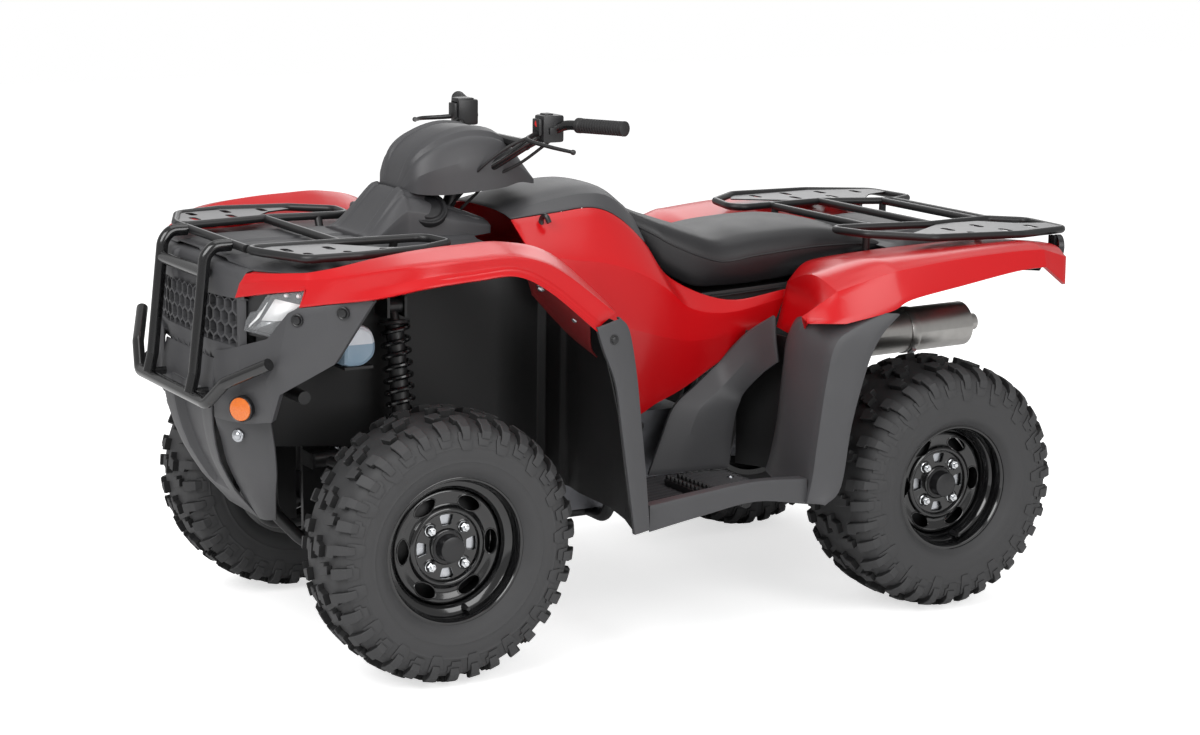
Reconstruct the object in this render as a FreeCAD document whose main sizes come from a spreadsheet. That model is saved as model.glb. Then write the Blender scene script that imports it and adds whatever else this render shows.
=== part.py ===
import FreeCAD
import Part
import math
import os
from FreeCAD import Placement, Rotation, Vector

# Utility quad bike: two-wheel drive, wishbone front axle, solid rear axle in a swingarm.
# Frame: +X is the rider's left, the front faces -Y, +Z is up, the ground is Z = 0.

os.makedirs("parts", exist_ok=True)
doc = FreeCAD.newDocument("QuadBike")
sheet = doc.addObject("Spreadsheet::Sheet", "Sizes")

# Driving dimensions in millimetres and degrees
SIZES = [
    ("wheelbase", 1268),
    ("track", 840),
    ("deck_height", 905),
    ("centre_shift", 13),
    ("tyre_radius", 292),
    ("front_tyre_width", 200),
    ("rear_tyre_width", 250),
    ("tread_depth", 17),
    ("front_bead_radius", 152),
    ("rear_bead_radius", 140),
    ("front_flange_radius", 168),
    ("rear_flange_radius", 156),
    ("rim_wall", 4),
    ("front_rim_half_width", 80),
    ("rear_rim_half_width", 103),
    ("front_disc_offset", 48),
    ("rear_disc_offset", 62),
    ("wheel_disc_radius", 126),
    ("hub_radius", 40),
    ("hub_flange_radius", 72),
    ("hub_flange_wall", 9),
    ("wheel_bolt_circle", 55),
    ("wheel_stud_radius", 5),
    ("wheel_nut_radius", 10),
    ("wheel_nut_height", 14),
    ("hub_cap_radius", 24),
    ("spindle_radius", 16),
    ("bearing_gap", 0.3),
    ("brake_disc_radius", 88),
    ("brake_disc_wall", 4),
    ("axle_radius", 19),
    ("axle_tube_radius", 38),
    ("frame_tube_radius", 14),
    ("frame_bend", 70),
    ("bracket_wall", 6),
    ("arm_tube_radius", 12),
    ("arm_bush_radius", 17),
    ("arm_bush_length", 56),
    ("ball_joint_radius", 17),
    ("ball_joint_height", 37),
    ("kingpin_reach", 70),
    ("kingpin_span", 76),
    ("kingpin_lean", 7),
    ("kingpin_caster", 3),
    ("steering_arm", 100),
    ("tie_rod_radius", 8),
    ("rod_end_radius", 13),
    ("rod_end_height", 22),
    ("steering_lean", 22),
    ("steering_column_radius", 15),
    ("pitman_arm", 82),
    ("pitman_half_span", 20),
    ("pitman_wall", 8),
    ("rod_end_clearance", 19),
    ("clamp_half_length", 48),
    ("guard_tube_radius", 13),
    ("rack_tube_radius", 9),
    ("rack_bend", 34),
    ("rack_plate_wall", 3),
    ("handlebar_radius", 11),
    ("grip_radius", 17),
    ("panel_wall", 4),
    ("guard_wall", 4),
    ("board_wall", 6),
    ("liner_wall", 3),
    ("muffler_radius", 53),
    ("pipe_radius", 20),
    ("spring_radius", 34),
    ("damper_radius", 20),
    ("shock_eye_radius", 16),
    ("shock_eye_length", 34),
    ("reflector_radius", 28),
    ("reflector_wall", 14),
    ("reflector_boss", 9.5),
    ("hitch_ball_bore", 12.8),
    ("hitch_wall", 10),
    ("hitch_width", 76),
    ("seat_gap", 1),
    ("running_gap", 8),
    ("lever_radius", 6),
    ("grille_pitch", 34),
    ("crank_cover_radius", 82),
    ("crank_cover_depth", 30),
    ("overrun", 40),
]
for row, (alias, value) in enumerate(SIZES, 1):
    sheet.set(f"A{row}", alias)
    sheet.set(f"B{row}", str(value))
    sheet.setAlias(f"B{row}", alias)
doc.recompute()


def size(alias):
    """A driving dimension read from the sheet."""
    return float(getattr(sheet, alias))


# The body lines are drawn on a styling grid that follows wheelbase, track and rack height
WHEELBASE_SHARE = 1.268
TRACK_SHARE = 0.840
DECK_SHARE = 0.905
length_unit = size("wheelbase") / WHEELBASE_SHARE
side_unit = size("track") / TRACK_SHARE
height_unit = size("deck_height") / DECK_SHARE

front_axle = size("centre_shift") - size("wheelbase") / 2
rear_axle = size("centre_shift") + size("wheelbase") / 2
half_track = size("track") / 2
wheel_height = size("tyre_radius")

LEFT = 1
RIGHT = -1
X_AXIS = Vector(1, 0, 0)
Y_AXIS = Vector(0, 1, 0)
Z_AXIS = Vector(0, 0, 1)
nodes = []


def grid(x, y, z):
    """A point of the styling grid, from its shares."""
    return Vector(x * side_unit, y * length_unit + size("centre_shift"), z * height_unit)


def points(shares, side=LEFT):
    """Grid points of one side from a table of shares."""
    return [grid(side * x, y, z) for x, y, z in shares]


def node(label, item):
    """Register a finished sub-part under the name of its file."""
    for other in doc.Objects:
        if other.Label == label:
            other.Label = label + "_body"
    item.Label = label
    nodes.append(item)
    return item


def bind(item, **formulas):
    for name, formula in formulas.items():
        item.setExpression(name, formula)
    return item


def turned(direction):
    """Rotation that carries +Z onto a direction."""
    return Rotation(Z_AXIS, direction)


def feature(name, shape):
    item = doc.addObject("Part::Feature", name)
    item.Shape = shape
    return item


def rod(radius, start, end, name="rod"):
    """Round bar between two points, its radius bound to the sheet."""
    item = doc.addObject("Part::Cylinder", name)
    bind(item, Radius="Sizes." + radius)
    item.Height = (end - start).Length
    item.Placement = Placement(start, turned(end - start))
    return item


def disc(radius, height, start, direction, name="disc"):
    """Round bar of bound radius and bound height from a point along a direction."""
    item = doc.addObject("Part::Cylinder", name)
    bind(item, Radius="Sizes." + radius, Height="Sizes." + height)
    item.Placement = Placement(start, turned(direction))
    return item


def block(low, high, name="block"):
    """Upright box between two opposite corners."""
    item = doc.addObject("Part::Box", name)
    item.Length = abs(high.x - low.x)
    item.Width = abs(high.y - low.y)
    item.Height = abs(high.z - low.z)
    corner = Vector(min(low.x, high.x), min(low.y, high.y), min(low.z, high.z))
    item.Placement = Placement(corner, Rotation())
    return item


def fuse(parts, name="fused"):
    if len(parts) == 1:
        return parts[0]
    item = doc.addObject("Part::MultiFuse", name)
    item.Shapes = parts
    return item


def welded(parts, name="weld"):
    """Parts fused one after another."""
    whole = parts[0]
    for part in parts[1:]:
        item = doc.addObject("Part::Fuse", name)
        item.Base = whole
        item.Tool = part
        whole = item
    return whole


def cut(base, tools, name="cut"):
    item = doc.addObject("Part::Cut", name)
    item.Base = base
    item.Tool = fuse(tools, "tools")
    return item


STRAIGHT_ENOUGH = 0.001
ARC_SHARE = 0.45


def bent_path(corners, bend):
    """Straight runs joined by tangent arcs of the bend radius or as large as the runs allow."""
    count = len(corners)
    edges = []
    turns = range(1, count - 1)
    entry = {}
    leave = {}
    for i in turns:
        before, here, after = corners[i - 1:i + 2]
        back = (before - here).normalize()
        ahead = (after - here).normalize()
        half_turn = (math.pi - back.getAngle(ahead)) / 2
        if half_turn < STRAIGHT_ENOUGH:
            entry[i] = here
            leave[i] = here
            continue
        shorter = min((before - here).Length, (after - here).Length)
        reach = min(bend * math.tan(half_turn), shorter * ARC_SHARE)
        radius = reach / math.tan(half_turn)
        entry[i] = here + back * reach
        leave[i] = here + ahead * reach
        middle = (back + ahead).normalize()
        to_centre = math.hypot(reach, radius)
        crown = here + middle * (to_centre - radius)
        edges.append((i, Part.Arc(entry[i], crown, leave[i]).toShape()))
    arcs = dict(edges)
    path = []
    cursor = corners[0]
    for i in turns:
        path.append(Part.LineSegment(cursor, entry[i]).toShape())
        if i in arcs:
            path.append(arcs[i])
        cursor = leave[i]
    path.append(Part.LineSegment(cursor, corners[-1]).toShape())
    return Part.Wire(path)


def tube(corners, radius, bend, name="tube"):
    """Bent round tube: a bound circle swept along a path of runs and arcs."""
    wire = bent_path(corners, size(bend))
    path = feature(name + "_path", wire)
    first = wire.OrderedEdges[0]
    start = first.valueAt(first.FirstParameter)
    along = first.tangentAt(first.FirstParameter)
    ring = doc.addObject("Part::Circle", name + "_ring")
    bind(ring, Radius="Sizes." + radius)
    ring.Placement = Placement(start, turned(along))
    item = doc.addObject("Part::Sweep", name)
    item.Sections = [ring]
    item.Spine = (path, [])
    item.Solid = True
    return item


def loop_tube(corners, radius, bend):
    """Closed loop of tube, made as two halves that meet in the middle of straight runs."""
    half = len(corners) // 2
    seam_a = (corners[-1] + corners[0]) * 0.5
    seam_b = (corners[half - 1] + corners[half]) * 0.5
    first = tube([seam_a] + corners[:half] + [seam_b], radius, bend)
    second = tube([seam_b] + corners[half:] + [seam_a], radius, bend)
    return [first, second]


def offset_rows(rows, wall):
    """Rows moved inward along the local normal by the wall."""
    moved = []
    for r, row in enumerate(rows):
        line = []
        for s, here in enumerate(row):
            along = row[min(s + 1, len(row) - 1)] - row[max(s - 1, 0)]
            normal = Vector(0, 0, 0)
            if r > 0:
                normal += along.cross(here - rows[r - 1][s]).normalize()
            if r < len(rows) - 1:
                normal += along.cross(rows[r + 1][s] - here).normalize()
            line.append(here + normal.normalize() * wall)
        moved.append(line)
    return moved


def line_through(row):
    """Smooth curve through a row of points, or a straight edge between two."""
    if len(row) == 2:
        return Part.LineSegment(row[0], row[1]).toShape()
    curve = Part.BSplineCurve()
    curve.interpolate(row)
    return curve.toShape()


def solid_of(faces):
    shell = Part.makeShell(faces)
    shell.sewShape()
    solid = Part.makeSolid(shell)
    if solid.Volume < 0:
        solid.reverse()
    return solid


def panel(rows, wall, name="panel"):
    """Creased moulding of constant wall: ruled strips between smooth rows of points."""
    inner = offset_rows(rows, wall)
    outer_lines = [line_through(row) for row in rows]
    inner_lines = [line_through(row) for row in inner]
    faces = []
    for lines in (outer_lines, inner_lines):
        for a, b in zip(lines, lines[1:]):
            faces.append(Part.makeRuledSurface(a, b))
    for k in (0, -1):
        faces.append(Part.makeRuledSurface(outer_lines[k], inner_lines[k]))
    for s in (0, -1):
        for k in range(len(rows) - 1):
            a = Part.LineSegment(rows[k][s], rows[k + 1][s]).toShape()
            b = Part.LineSegment(inner[k][s], inner[k + 1][s]).toShape()
            faces.append(Part.makeRuledSurface(a, b))
    return feature(name, solid_of(faces))


def mirrored_rows(shares, side):
    """Rows of one side; the order is turned round on the right so that the wall stays inside."""
    rows = [points(row, side) for row in shares]
    return rows if side == LEFT else rows[::-1]


def triangle(a, b, c):
    return Part.Face(Part.makePolygon([a, b, c, a]))


def faceted(rings, name="faceted"):
    """Solid of flat facets through closed rings of corners, its two ends fanned from their middles."""
    faces = []
    for ring, after in zip(rings, rings[1:]):
        count = len(ring)
        for i in range(count):
            j = (i + 1) % count
            faces.append(triangle(ring[i], ring[j], after[i]))
            faces.append(triangle(ring[j], after[j], after[i]))
    for ring in (rings[0], rings[-1]):
        middle = sum(ring, Vector(0, 0, 0)) / len(ring)
        for i, corner in enumerate(ring):
            faces.append(triangle(middle, corner, ring[(i + 1) % len(ring)]))
    return feature(name, solid_of(faces))


def section_loft(sections, ruled=False, name="loft"):
    """Loft through closed outlines; each outline is a list of points."""
    wires = []
    for outline in sections:
        if ruled:
            wires.append(Part.makePolygon(outline + [outline[0]]))
        else:
            curve = Part.BSplineCurve()
            curve.interpolate(outline, PeriodicFlag=True)
            wires.append(Part.Wire(curve.toShape()))
    return feature(name, Part.makeLoft(wires, True, ruled))


# Wheels


LUG_COUNT = 17
SIDEWALL_SHARES = ((0.96, 0.26), (1.00, 0.62))
SHOULDER_SHARES = (0.90, 0.88)
CROWN_SHARE = 0.56
LUG_EDGE_SHARES = (0.985, 0.93)
LUG_FOOT_SHARE = 0.05


def tyre_form(width, bead, flange, rim_half):
    """Carcass seated between the rim's flanges, with two staggered rows of lugs that wrap its shoulders.

    The tyre is made of flat facets: each sector of the turn holds a lug on one side and a gap on the other.
    """
    sectors = LUG_COUNT * 2
    outer = size("tyre_radius")
    base = outer - size("tread_depth")
    half = size(width) / 2
    seat = size(rim_half) - size("rim_wall") * 2 - size("bearing_gap")
    lip = size(flange) + size("bearing_gap")
    wall = base - lip
    sides = [(seat, size(bead)), (seat, lip)] + [(half * a, lip + wall * r) for a, r in SIDEWALL_SHARES]
    plain = [(half * SHOULDER_SHARES[0], lip + wall * SHOULDER_SHARES[1]), (half * CROWN_SHARE, base)]
    raised = [(half * LUG_EDGE_SHARES[0], lip + wall * LUG_EDGE_SHARES[1]), (half * CROWN_SHARE, outer),
              (half * LUG_FOOT_SHARE, outer)]
    crown = (0, base)

    def corner(place, sector, way):
        """Corner of the outline at the start of a sector; the facets' middles lie on the outline."""
        turn = math.tau * (sector - 0.5) / sectors
        radius = place[1] / math.cos(math.pi / sectors)
        return Vector(way * place[0], radius * math.sin(turn), -radius * math.cos(turn))

    faces = []
    for sector in range(sectors):
        for way in (LEFT, RIGHT):
            is_lug = (sector % 2 == 0) == (way == LEFT)
            line = sides + (raised if is_lug else plain) + [crown]
            for near, far in zip(line, line[1:]):
                faces.append([corner(near, sector, way), corner(far, sector, way),
                              corner(far, sector + 1, way), corner(near, sector + 1, way)])
            if is_lug:
                flank = [sides[-1]] + raised + [crown] + plain[::-1]
                for end in (sector, sector + 1):
                    faces.append([corner(place, end, way) for place in flank])
        faces.append([corner(sides[0], sector, LEFT), corner(sides[0], sector + 1, LEFT),
                      corner(sides[0], sector + 1, RIGHT), corner(sides[0], sector, RIGHT)])
    return solid_of([Part.Face(Part.makePolygon(face + face[:1])) for face in faces])


def wheel_place(side, along):
    """Wheel centre, outer face turned away from the body."""
    turn = Rotation() if side == LEFT else Rotation(Z_AXIS, 180)
    return Placement(Vector(side * half_track, along, size("tyre_radius")), turn)


def rim_form(half_width, flange, bead, offset, hub_start, bore_radius, disc_wanted):
    """Pressed steel wheel: dropped barrel, dished disc with windows, hub, nuts and cap."""
    w = size(half_width)
    f = size(flange)
    b = size(bead) - size("bearing_gap")
    wall = size("rim_wall")
    disc_x = w - size(offset)
    well = size("wheel_disc_radius")
    outline = [
        (w, f), (w - wall, f), (w - wall * 2, b), (w * 0.72, b - wall), (w * 0.50, well + wall),
        (-w * 0.35, well + wall), (-w * 0.62, b - wall), (-w + wall * 2, b), (-w + wall, f), (-w, f),
        (-w, f - wall), (-w + wall, b - wall * 2), (-w * 0.60, b - wall * 2), (-w * 0.36, well),
        (w * 0.50, well), (w * 0.70, b - wall * 2), (w - wall, b - wall * 2), (w, f - wall),
    ]
    barrel_face = Part.Face(Part.makePolygon([Vector(x, 0, r) for x, r in outline + outline[:1]]))
    barrel = barrel_face.revolve(Vector(0, 0, 0), X_AXIS, 360)
    hub = size("hub_radius")
    plate = size("hub_flange_radius")
    dish = [
        (disc_x, 0), (disc_x, plate), (disc_x + wall * 2, plate + wall * 2),
        (disc_x + wall, well + wall / 2), (disc_x - wall / 2, well + wall / 2),
        (disc_x + wall / 2, plate + wall * 3), (disc_x - wall, plate + wall), (disc_x - wall, hub),
        (hub_start, hub), (hub_start, 0),
    ]
    dish_face = Part.Face(Part.makePolygon([Vector(x, 0, r) for x, r in dish + dish[:1]]))
    disc_body = dish_face.revolve(Vector(0, 0, 0), X_AXIS, 360)
    cutters = []
    for i in range(6):
        window = Part.makeCylinder(
            wall * 3.2, size("overrun"),
            Vector(disc_x - size("overrun") / 2, 0, (plate + well) / 2 + wall), X_AXIS)
        window.rotate(Vector(0, 0, 0), X_AXIS, i * 60)
        cutters.append(window)
    bore = Part.makeCylinder(
        size(bore_radius) + size("bearing_gap"), disc_x - hub_start - wall, Vector(hub_start, 0, 0), X_AXIS)
    disc_body = disc_body.cut(cutters + [bore])
    added = [disc_body]
    for i in range(4):
        nut = Part.makeCylinder(
            size("wheel_nut_radius"), size("wheel_nut_height"),
            Vector(disc_x - wall / 2, 0, size("wheel_bolt_circle")), X_AXIS)
        nut.rotate(Vector(0, 0, 0), X_AXIS, 45 + i * 90)
        added.append(nut)
    added.append(Part.makeCylinder(
        size("hub_cap_radius") + wall, hub / 2 + wall, Vector(disc_x - wall / 2, 0, 0), X_AXIS))
    if disc_wanted:
        added.append(Part.makeCylinder(
            size("brake_disc_radius"), size("brake_disc_wall"), Vector(hub_start + size("spindle_radius"), 0, 0), X_AXIS
        ).cut(bore))
    return barrel.fuse(added)


def wheels():
    front_tyre = tyre_form("front_tyre_width", "front_bead_radius", "front_flange_radius", "front_rim_half_width")
    rear_tyre = tyre_form("rear_tyre_width", "rear_bead_radius", "rear_flange_radius", "rear_rim_half_width")
    front_rim = rim_form("front_rim_half_width", "front_flange_radius", "front_bead_radius", "front_disc_offset",
                         size("spindle_radius") - size("kingpin_reach") + size("running_gap"),
                         "spindle_radius", True)
    rear_rim = rim_form("rear_rim_half_width", "rear_flange_radius", "rear_bead_radius", "rear_disc_offset",
                        -size("rear_rim_half_width"), "axle_radius", False)
    for side, name in ((LEFT, "left"), (RIGHT, "right")):
        for label, shape, along in (
                ("tyre_front_", front_tyre, front_axle), ("wheel_front_", front_rim, front_axle),
                ("tyre_rear_", rear_tyre, rear_axle), ("wheel_rear_", rear_rim, rear_axle)):
            item = feature(label + name + "_form", shape)
            item.Placement = wheel_place(side, along)
            node(label + name, item)


def rear_axle_shaft():
    reach = half_track + size("rear_rim_half_width") - size("rear_disc_offset") - size("running_gap")
    shaft = rod("axle_radius", Vector(-reach, rear_axle, wheel_height), Vector(reach, rear_axle, wheel_height))
    node("rear_axle", shaft)


# Frame

LOWER_RAIL_SHARES = (
    (0.075, -0.880, 0.620), (0.075, -0.868, 0.310), (0.105, -0.800, 0.232), (0.105, 0.180, 0.232),
    (0.105, 0.262, 0.290), (0.112, 0.330, 0.520), (0.120, 0.400, 0.700))
UPPER_RAIL_SHARES = (
    (0.075, -0.880, 0.600), (0.085, -0.780, 0.700), (0.085, -0.560, 0.772), (0.085, -0.200, 0.790),
    (0.105, 0.000, 0.760), (0.120, 0.140, 0.690), (0.122, 0.600, 0.720), (0.122, 0.960, 0.750))
CROSS_SHARES = (
    (0.075, -0.879, 0.600), (0.075, -0.873, 0.450), (0.105, -0.655, 0.232), (0.105, -0.400, 0.232), (0.105, 0.100, 0.232),
    (0.1194, 0.395, 0.700), (0.085, -0.634, 0.762), (0.122, 0.600, 0.720), (0.122, 0.930, 0.748))
TOWER_SHARES = (0.085, 0.175, -0.634, 0.762)
RACK_BAR_SHARES = ((0.122, 0.205, 0.600, 0.720), (0.122, 0.205, 0.930, 0.748))
SEAT_CROSS = (0.120, 0.395, 0.700)
PIVOT_SHARES = (0.088, 0.268, 0.330)
RAIL_HEIGHT_SHARE = 0.232
SHIELD_LUG_X = 0.285
SHIELD_LUG_SHARE = -0.976
COLUMN_FOOT = (0.0, -0.650, 0.340)
COLUMN_BEARING_HEIGHT = 0.775
SHOCK_TOP = (0.195, -0.634, 0.762)
SHOCK_FOOT = (0.280, -0.634, 0.285)
ARM_LOWER_SHARES = (0.142, 0.140, 0.270)
ARM_UPPER_SHARES = (0.142, 0.140, 0.430)

lean = math.radians(size("steering_lean"))
column_axis = Vector(0, math.sin(lean), math.cos(lean))
column_back = Vector(0, math.cos(lean), -math.sin(lean))
column_foot = grid(*COLUMN_FOOT)


def column_point(along, back=0, across=0):
    """Point from the column's foot along its axis, backwards and across."""
    return column_foot + column_axis * along + column_back * back + X_AXIS * across


def column_at(height):
    """Distance along the column at which it reaches a height."""
    return (height - column_foot.z) / column_axis.z


def rail_share(y):
    """Height share of the upper rail's centre line at a length share."""
    for low, high in zip(UPPER_RAIL_SHARES, UPPER_RAIL_SHARES[1:]):
        if low[1] <= y <= high[1]:
            return low[2] + (high[2] - low[2]) * (y - low[1]) / (high[1] - low[1])
    raise ValueError("the upper rail does not reach this far")


def frame_side(side, name):
    """Lower and upper rail of one side with everything that is welded to them."""
    parts = [tube(points(LOWER_RAIL_SHARES, side), "frame_tube_radius", "frame_bend"),
             tube(points(UPPER_RAIL_SHARES, side), "frame_tube_radius", "frame_bend")]
    parts += arm_brackets(side) + foot_outriggers(side) + [pivot_plate(side)]
    parts += shock_clevis(grid(side * SHOCK_TOP[0], SHOCK_TOP[1], SHOCK_TOP[2]), side)
    for rail, reach, along, level in (TOWER_SHARES,) + RACK_BAR_SHARES:
        parts.append(rod("frame_tube_radius", grid(side * rail, along, level), grid(side * reach, along, level)))
    low = CROSS_SHARES[0]
    parts.append(rod("frame_tube_radius", grid(side * low[0], low[1], low[2]), grid(side * SHIELD_LUG_X, low[1], low[2])))
    lamp = grid(side * low[0], LAMP_BAR_SHARES[1], LAMP_BAR_SHARES[2]) - Z_AXIS * (size("rack_tube_radius") + size("bearing_gap"))
    parts.append(rod("rack_tube_radius", grid(side * low[0], low[1], low[2]), lamp, "lamp_post"))
    if side == LEFT:
        parts += bottle_shelf()
    node("frame_" + name, welded(parts, "frame_" + name))


def frame_cross():
    """Cross members between the two sides, the column's two bearings, the lamp bar and the damper's hanger."""
    bearing = column_at(COLUMN_BEARING_HEIGHT * height_unit)
    top = column_point(bearing + size("bracket_wall") * 2)
    reach = size("frame_tube_radius") + size("bearing_gap")
    bars = []
    for x, y, z in CROSS_SHARES + ((UPPER_RAIL_SHARES[2][0], None, None),):
        here = grid(x, y, z) if y else Vector(x * side_unit, top.y, top.z)
        half = X_AXIS * (here.x - reach)
        middle = Vector(0, here.y, here.z)
        bars.append(rod("frame_tube_radius", middle - half, middle + half, "cross_bar"))
    foot_bar, upper_bar = bars[2], bars[-1]
    post = rod("frame_tube_radius", grid(0, CROSS_SHARES[2][1], CROSS_SHARES[2][2]), column_point(-size("bracket_wall") * 2))
    cups = []
    for along in (-size("bracket_wall") * 4, bearing):
        cup = doc.addObject("Part::Cylinder", "column_cup")
        bind(cup, Radius="Sizes.steering_column_radius + Sizes.bracket_wall * 1.5", Height="Sizes.bracket_wall * 4")
        cup.Placement = Placement(column_point(along), turned(column_axis))
        cups.append(cup)
    bore = doc.addObject("Part::Cylinder", "column_bore")
    bind(bore, Radius="Sizes.steering_column_radius + Sizes.bearing_gap")
    bore.Height = column_at(size("deck_height")) + size("overrun")
    bore.Placement = Placement(column_point(-size("overrun")), turned(column_axis))
    steering_carrier = cut(fuse([foot_bar, post, cups[0]], "foot_carrier"), [bore], "foot_carrier")
    upper_carrier = cut(fuse([upper_bar, cups[1]], "upper_carrier"), [bore], "upper_carrier")
    seat_bar = fuse([bars[5]] + shock_hanger(), "seat_bar")
    x, y, z = LAMP_BAR_SHARES
    lamp_bar = rod("rack_tube_radius", grid(-x, y, z), grid(x, y, z), "lamp_bar")
    compound = doc.addObject("Part::Compound", "frame_cross")
    compound.Links = bars[:2] + bars[3:5] + bars[6:-1] + [steering_carrier, upper_carrier, seat_bar, lamp_bar]
    node("frame_cross", compound)


OUTRIGGER_SHARES = (0.105, 0.195, 0.440, -0.100, 0.120)
LAMP_BAR_SHARES = (0.300, -0.875, 0.790)
SHELF_SHARES = (0.085, 0.280, -0.785, -0.720, 0.655)
REAR_SHOCK_TOP = (0.0, 0.435, 0.650)
REAR_SHOCK_FOOT = (0.0, 0.560, 0.365)


def foot_outriggers(side):
    """Bent tubes from the lower rail, out round the crankcase and under the footboard."""
    rail, post, reach, front, rear = OUTRIGGER_SHARES
    level = board_underside() - size("bearing_gap") - size("frame_tube_radius")
    parts = []
    for along in (front, rear):
        foot = grid(side * rail, along, RAIL_HEIGHT_SHARE)
        knee = grid(side * post, along, RAIL_HEIGHT_SHARE)
        rise = Vector(knee.x + side * size("frame_tube_radius") * 1.5, knee.y, level)
        end = Vector(side * reach * side_unit, knee.y, level)
        parts.append(tube([foot, knee, rise, end], "frame_tube_radius", "frame_bend", name="outrigger"))
    return parts


def pivot_plate(side):
    """Plate inside the rear bend of the lower rail that holds the swingarm's pivot."""
    x, y, z = PIVOT_SHARES
    reach = size("arm_bush_radius") * 1.5
    pivot = grid(side * x, y, z)
    low = pivot - Vector(0, reach, reach)
    high = pivot + Vector(side * size("frame_tube_radius"), reach, reach)
    return block(low, high, "pivot_plate")


def board_underside():
    """Height of the footboards' lower face."""
    return FOOTBOARD_SHARES[1][0][2] * height_unit - size("board_wall")


def bottle_shelf():
    """Flat shelf from the left upper rail under the coolant bottle."""
    rail, reach, front, rear, level = SHELF_SHARES
    top = grid(reach, rear, level) - Z_AXIS * size("bearing_gap")
    return [block(grid(rail, front, level) - Z_AXIS * (size("bracket_wall") + size("bearing_gap")), top, "bottle_shelf"),
            block(grid(rail, front, level) - Z_AXIS * size("bracket_wall"), grid(rail, rear, 0.715) + X_AXIS * size("bracket_wall"), "shelf_web")]


def shock_hanger():
    """Two plates from the seat cross tube to the rear damper's upper eye."""
    eye = grid(*REAR_SHOCK_TOP)
    half = size("shock_eye_length") / 2 + size("bearing_gap")
    reach = size("shock_eye_radius")
    front = grid(0, SEAT_CROSS[1], SEAT_CROSS[2])
    plates = []
    for way in (-1, 1):
        low = Vector(way * half, front.y, eye.z - reach)
        high = Vector(way * (half + size("bracket_wall")), eye.y + reach, front.z)
        plates.append(block(low, high, "hanger"))
    return plates


def bush_ends(shares, side):
    """Front and rear bush centres of a wishbone."""
    x, spread, z = shares
    axle = -WHEELBASE_SHARE / 2
    return [grid(side * x, axle + way * spread, z) for way in (-1, 1)]


def arm_brackets(side):
    """Plates on the frame at both ends of each wishbone bush."""
    plates = []
    half = size("arm_bush_length") / 2 + size("bearing_gap")
    wall = size("bracket_wall")
    inner = 0.100 * side_unit
    reach = size("arm_bush_radius")
    for shares in (ARM_LOWER_SHARES, ARM_UPPER_SHARES):
        for centre in bush_ends(shares, side):
            for way in (-1, 1):
                near = centre.y + way * half
                low = Vector(side * inner, near, centre.z - reach)
                high = Vector(centre.x + side * reach, near + way * wall, centre.z + reach)
                plates.append(block(low, high, "arm_bracket"))
    for centre in bush_ends(ARM_UPPER_SHARES, side):
        post = Vector(side * inner, centre.y, centre.z + size("overrun"))
        base = Vector(side * inner, centre.y, 0.232 * height_unit)
        half_run = Vector(0, half + wall, 0)
        plates.append(block(base - half_run - X_AXIS * wall, base + half_run + X_AXIS * wall + Z_AXIS * (post.z - base.z), "arm_post"))
    return plates


def shock_clevis(eye, side):
    """Carrier at the end of the tower's cross tube with two plates that hold a shock's eye."""
    half = size("shock_eye_length") / 2 + size("bearing_gap")
    wall = size("bracket_wall")
    reach = size("shock_eye_radius") + wall
    inner = eye.x - side * (reach * 2)
    parts = []
    for turn in (-1, 1):
        low = Vector(inner, eye.y + turn * half, eye.z - reach)
        high = Vector(eye.x + side * reach, eye.y + turn * (half + wall), eye.z + reach)
        parts.append(block(low, high, "clevis"))
    low = Vector(inner, eye.y - half, eye.z - reach)
    high = Vector(eye.x - side * (size("shock_eye_radius") + wall), eye.y + half, eye.z + reach)
    parts.append(block(low, high, "tower_end"))
    return parts


# Front suspension and steering


def kingpin(side):
    """Kingpin centre and axis: the top leans inward and backward."""
    centre = Vector(side * (half_track - size("kingpin_reach")), front_axle, wheel_height)
    sideways = math.tan(math.radians(size("kingpin_lean")))
    backward = math.tan(math.radians(size("kingpin_caster")))
    return centre, Vector(-side * sideways, backward, 1).normalize()


def front_arms():
    """Upper and lower wishbones of both sides."""
    wishbones = []
    for side in (LEFT, RIGHT):
        centre, axis = kingpin(side)
        for shares, way in ((ARM_LOWER_SHARES, -1), (ARM_UPPER_SHARES, 1)):
            joint = centre + axis * way * size("kingpin_span")
            parts = []
            for bush in bush_ends(shares, side):
                half = Vector(0, size("arm_bush_length") / 2, 0)
                parts.append(rod("arm_bush_radius", bush - half, bush + half))
                short = (bush - joint).normalize() * size("arm_tube_radius") * 0.4
                parts.append(rod("arm_tube_radius", bush, joint + short))
            parts.append(rod("ball_joint_radius", joint - axis * size("ball_joint_height") / 2,
                             joint + axis * size("ball_joint_height") / 2))
            if way == -1:
                eye = grid(side * SHOCK_FOOT[0], SHOCK_FOOT[1], SHOCK_FOOT[2])
                parts += shock_foot(eye, side)
            wishbones.append(welded(parts, "wishbone"))
    compound = doc.addObject("Part::Compound", "front_arms")
    compound.Links = wishbones
    node("front_arms", compound)


def shock_foot(eye, side):
    """Clevis on the lower wishbone with the cross bar that carries it."""
    half = size("shock_eye_length") / 2 + size("bearing_gap")
    wall = size("bracket_wall")
    reach = size("shock_eye_radius")
    bar = Vector(eye.x, eye.y, 0.236 * height_unit)
    span = Vector(0, half + wall * 3, 0)
    parts = [rod("arm_tube_radius", bar - span, bar + span, "foot_bar")]
    for turn in (-1, 1):
        low = Vector(eye.x - reach, eye.y + turn * half, bar.z)
        high = Vector(eye.x + reach, eye.y + turn * (half + wall), eye.z + reach)
        parts.append(block(low, high, "foot_plate"))
    return parts


SPRING_COILS = 9


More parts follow.
